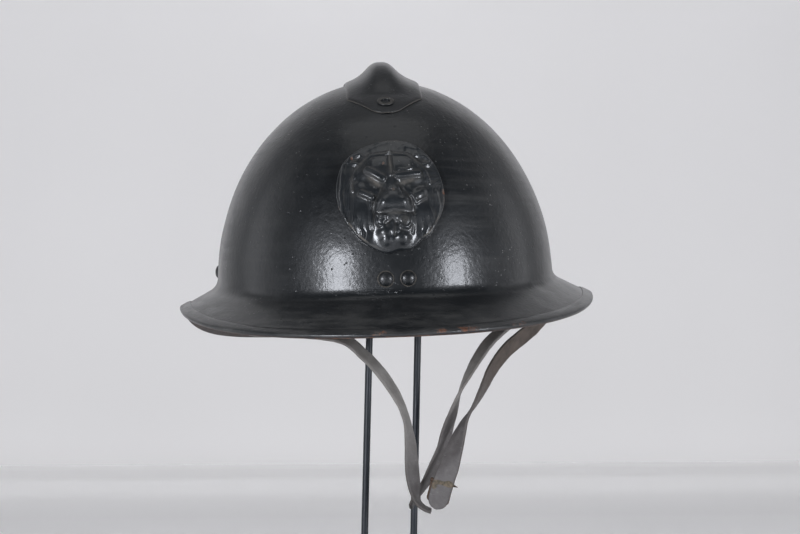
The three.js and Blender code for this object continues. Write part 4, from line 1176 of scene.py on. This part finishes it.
left_mesh = band_mesh("strap_left_band", left_frames, even_width, 41, painted_light=LEFT_PAINTED_LIGHT)
piece(left_mesh, LEATHER, "strap_leather", "strap_left")
right_mesh = band_mesh(
    "strap_right_band", right_frames, tongue_width, 47, stains=STAINS, browned=RIGHT_BROWN, painted_light=RIGHT_PAINTED_LIGHT
)
piece(right_mesh, LEATHER, "strap_leather", "strap_right")

# %% [markdown]
# The buckle is a bent wire frame behind the tongue, a little to its left. Its pin lies along the top bar,
# and the pin's point stands out past the tongue's edge.


# %% Buckle
BUCKLE = {"half_width": 6.6, "half_height": 6.4, "bar": 1.8, "steel": 1.5, "aside": 1.5, "pin": 1.1}
# Where it sits, as a share of the right band's length from the tongue's end
BUCKLE_SHARE = 2 / 64
seat_at = int(round(BUCKLE_SHARE * (len(right_frames["point"]) - 1)))
seat = {key: right_frames[key][seat_at] for key in ("point", "along", "width")}
third = unit(np.cross(seat["width"], seat["along"]))
BASIS = np.stack([seat["width"], seat["along"], third], -1)
TO_FRONT = -np.sign(third[1])


def on_tongue(grid):
    return to_row(grid @ BASIS.T + seat["point"])


def wire(path, radius, closed, squash=1.0):
    """A wire along a path in its own plane, a little flattened through that plane."""
    if closed:
        along = unit(np.roll(path, -1, 0) - np.roll(path, 1, 0))
    else:
        along = unit(np.gradient(path, axis=0))
    up = np.array([0, 0, 1.0])
    out = unit(np.cross(along, up))
    a = (np.arange(14) / 14 * TURN)[None, :, None]
    r = np.broadcast_to(np.asarray(radius, float), (len(path),))[:, None, None]
    return path[:, None] + r * (out[:, None] * np.cos(a) + up * np.sin(a) * squash)


def rounded_frame(half_width, half_height, corner, steps=10):
    points = []
    for quadrant, (sx, sy) in enumerate(((1, 1), (-1, 1), (-1, -1), (1, -1))):
        a = np.linspace(0, math.pi / 2, steps) + quadrant * math.pi / 2
        x = sx * (half_width - corner) + corner * np.cos(a)
        y = sy * (half_height - corner) + corner * np.sin(a)
        points += list(zip(x, y))
    flat = np.array(points)
    return np.concatenate([flat, np.zeros((len(flat), 1))], 1)


half_bar = BUCKLE["bar"] / 2
pin_behind = STRAP["leather"] / 2 + BUCKLE["pin"] + 2 * GAP
frame_behind = pin_behind + BUCKLE["pin"] + GAP + BUCKLE["steel"] / 2
loop = rounded_frame(BUCKLE["half_width"] - half_bar, BUCKLE["half_height"] - half_bar, 1.6)
loop[:, 0] += 0.2 * np.sin(loop[:, 1] * 0.5)
buckle_grid = wire(loop, half_bar, True, squash=BUCKLE["steel"] / BUCKLE["bar"])
buckle_grid = buckle_grid + np.array([-TO_FRONT * BUCKLE["aside"], 0, -TO_FRONT * frame_behind])
buckle_mesh = mesh_from_grid("buckle_frame", on_tongue(buckle_grid), wrap_rows=True)
piece(buckle_mesh, RUST, "rusty_steel", "buckle")

pin_reach = BUCKLE["half_width"] + BUCKLE["aside"]
x = np.linspace(-pin_reach, pin_reach, 48)
pin_radius = BUCKLE["pin"] * np.clip(np.minimum(1, (pin_reach - x) / 5) ** 0.7, 0.1, 1)
pin_path = np.stack([x, 0.12 * np.sin(x * 0.35), 0 * x], -1)
pin = wire(pin_path, pin_radius, False)
pin[..., 0] *= TO_FRONT
pin = pin + np.array([0, BUCKLE["half_height"] - half_bar, -TO_FRONT * pin_behind])
pin_mesh = mesh_from_grid("buckle_pin", on_tongue(pin), poles=[on_tongue(pin[i].mean(0)) for i in (0, -1)])
piece(pin_mesh, RUST, "rusty_steel", "buckle_prong")

# %% [markdown]
# ## The stand
#
# The two rods are plain painted steel. The foot and the saddle are the solids with paint on them, and so are
# the brackets inside the helmet.


# %% Stand
ROD_RADIUS = 0.002
for name in ("stand_rod_left", "stand_rod_right"):
    low, high = (np.array(c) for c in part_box(name))
    foot = np.array([low[0] + ROD_RADIUS, low[1] + ROD_RADIUS, low[2]])
    head = np.array([high[0] - ROD_RADIUS, high[1] - ROD_RADIUS, high[2]])
    t = np.linspace(0, 1, 60)[:, None]
    path = foot * (1 - t) + head * t
    a = np.arange(40) / 40 * TURN
    ring = np.stack([np.cos(a), np.sin(a), 0 * a], -1) * ROD_RADIUS
    grid = path[:, None] + ring[None] * (1 + 0.006 * np.sin(t[:, :, None] * 140))
    piece(mesh_from_grid(name + "_bar", grid, poles=(path[0], path[-1])), STAND, "stand_paint", name)

for name in ("stand_foot", "stand_saddle"):
    paint_with(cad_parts[name].data, STAND)
for name in ("strap_bracket_left", "strap_bracket_right"):
    paint_with(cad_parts[name].data, PAINT)

# %% [markdown]
# ## Setting and light
#
# The helmet stands on a pale table in front of a pale wall. The table has faint level bands and fades into
# the wall. Two soft boxes at the front give the two broad reflections, and a weak one hangs overhead. Two
# long ones out of sight light the wall. The world is bright behind the helmet and dark in front, which gives
# the soft grey sheen at the dome's sides.


# %% Table and wall
WALL_BACK = 1.5
# Place between the front and the back, and tone.
TABLE_BANDS = (
    (0.0, 0.84), (0.55, 0.90), (0.66, 0.84), (0.74, 0.86), (0.80, 0.97),
    (0.86, 0.96), (0.89, 0.84), (0.94, 0.84), (0.98, 0.93), (1.0, 0.97),
)


def banded_table():
    n = Material("table_top")
    place = n.ramp(n.axis("Y"), -0.4, 0.68)
    bands = n.add("ShaderNodeValToRGB", {0: place})
    marks = bands.color_ramp.elements
    ends = {0.0: marks[0], 1.0: marks[-1]}
    for place, tone in TABLE_BANDS:
        mark = ends.get(place) or marks.new(place)
        mark.color = (tone, tone * 0.993, tone * 1.002, 1.0)
    n.set("Base Color", bands.outputs[0])
    # The table top also glows faintly in its own banded colour: painted light that brightens it and lights
    # the strap from below.
    n.set("Emission Color", bands.outputs[0])
    n.set("Emission Strength", 0.13)
    n.set("Roughness", 0.42)
    return n.material


def blotched_wall():
    n = Material("wall")
    shade = n.ramp(n.noise(2.2, 2, 0.4), 0.3, 0.7, 0.75, 1.0)
    n.set("Base Color", n.mix(shade, (0.64, 0.632, 0.64), (0.80, 0.79, 0.80)))
    n.set("Roughness", 0.9)
    return n.material


def card(name, corners, material):
    mesh = bpy.data.meshes.new(name)
    mesh.from_pydata(corners, [], [range(len(corners))])
    mesh.materials.append(material)
    o = add_object(name, mesh)


card("table_top", [(-1.6, -1.4, 0), (1.6, -1.4, 0), (1.6, 0.66, 0), (-1.6, 0.66, 0)], banded_table())
wall_corners = [(x, WALL_BACK, z) for x, z in ((-3, -1.5), (3, -1.5), (3, 2.5), (-3, 2.5))]
card("wall", wall_corners, blotched_wall())


# %% Lights
MIDDLE = Vector((0, 0, 0.2))


def soft_box(name, place, aim, size, power, colour=(1, 1, 1)):
    data = bpy.data.lights.new(name, "AREA")
    data.shape = "RECTANGLE"
    data.size, data.size_y = size
    data.energy = power
    data.color = colour
    o = add_object(name, data)
    o.location = place
    o.rotation_euler = (Vector(aim) - o.location).to_track_quat("-Z", "Y").to_euler()


def round_the_helmet(azimuth, elevation, distance):
    a, e = math.radians(azimuth), math.radians(elevation)
    return Vector((math.sin(a) * math.cos(e), -math.cos(a) * math.cos(e), math.sin(e))) * distance + MIDDLE


COOL = (0.90, 0.93, 1.0)
soft_box("soft_box_left", round_the_helmet(-38, 5, 1.5), MIDDLE, (0.46, 0.40), 12.6, COOL)
soft_box("soft_box_right", round_the_helmet(47, 5, 1.5), MIDDLE, (0.42, 0.38), 9.4, COOL)
soft_box("overhead", round_the_helmet(0, 84, 1.9), MIDDLE, (1.6, 1.2), 3.2)
soft_box("wall_top", (0, 0.5, 1.1), (0, WALL_BACK, 0.75), (3.2, 0.25), 10.4)
soft_box("wall_low", (0, 0.8, -0.35), (0, WALL_BACK, 0.1), (3.2, 0.25), 7.6)

world = bpy.data.worlds.new("world")
world.use_nodes = True
n = Nodes(world.node_tree)
parts = n.add("ShaderNodeSeparateXYZ", {0: n.add("ShaderNodeTexCoord").outputs["Generated"]})
changes = []
# Axis, where the change starts and ends, and the strength there.
for axis, *numbers in (("Y", -0.3, 0.6, 0.03, 1.15), ("Z", 0.25, 0.8, 1.0, 0.15)):
    inputs = dict(enumerate([parts.outputs[axis]] + numbers))
    changes.append(n.add("ShaderNodeMapRange", inputs, interpolation_type="SMOOTHSTEP").outputs[0])
background = n.tree.nodes["Background"]
n.put(background.inputs["Color"], (0.95, 0.96, 1.0))
n.put(background.inputs["Strength"], n.times(*changes))
bpy.context.scene.world = world
bpy.context.scene.view_settings.view_transform = "Standard"

# %% Camera
camera_data = bpy.data.cameras.new("camera")
camera_data.lens = 79.37
camera_data.sensor_width = 36
camera = add_object("camera", camera_data)
camera.location = (-0.04545, -0.99899, 0.185)
camera.rotation_euler = (math.pi / 2, 0, math.radians(-3))
bpy.context.scene.camera = camera
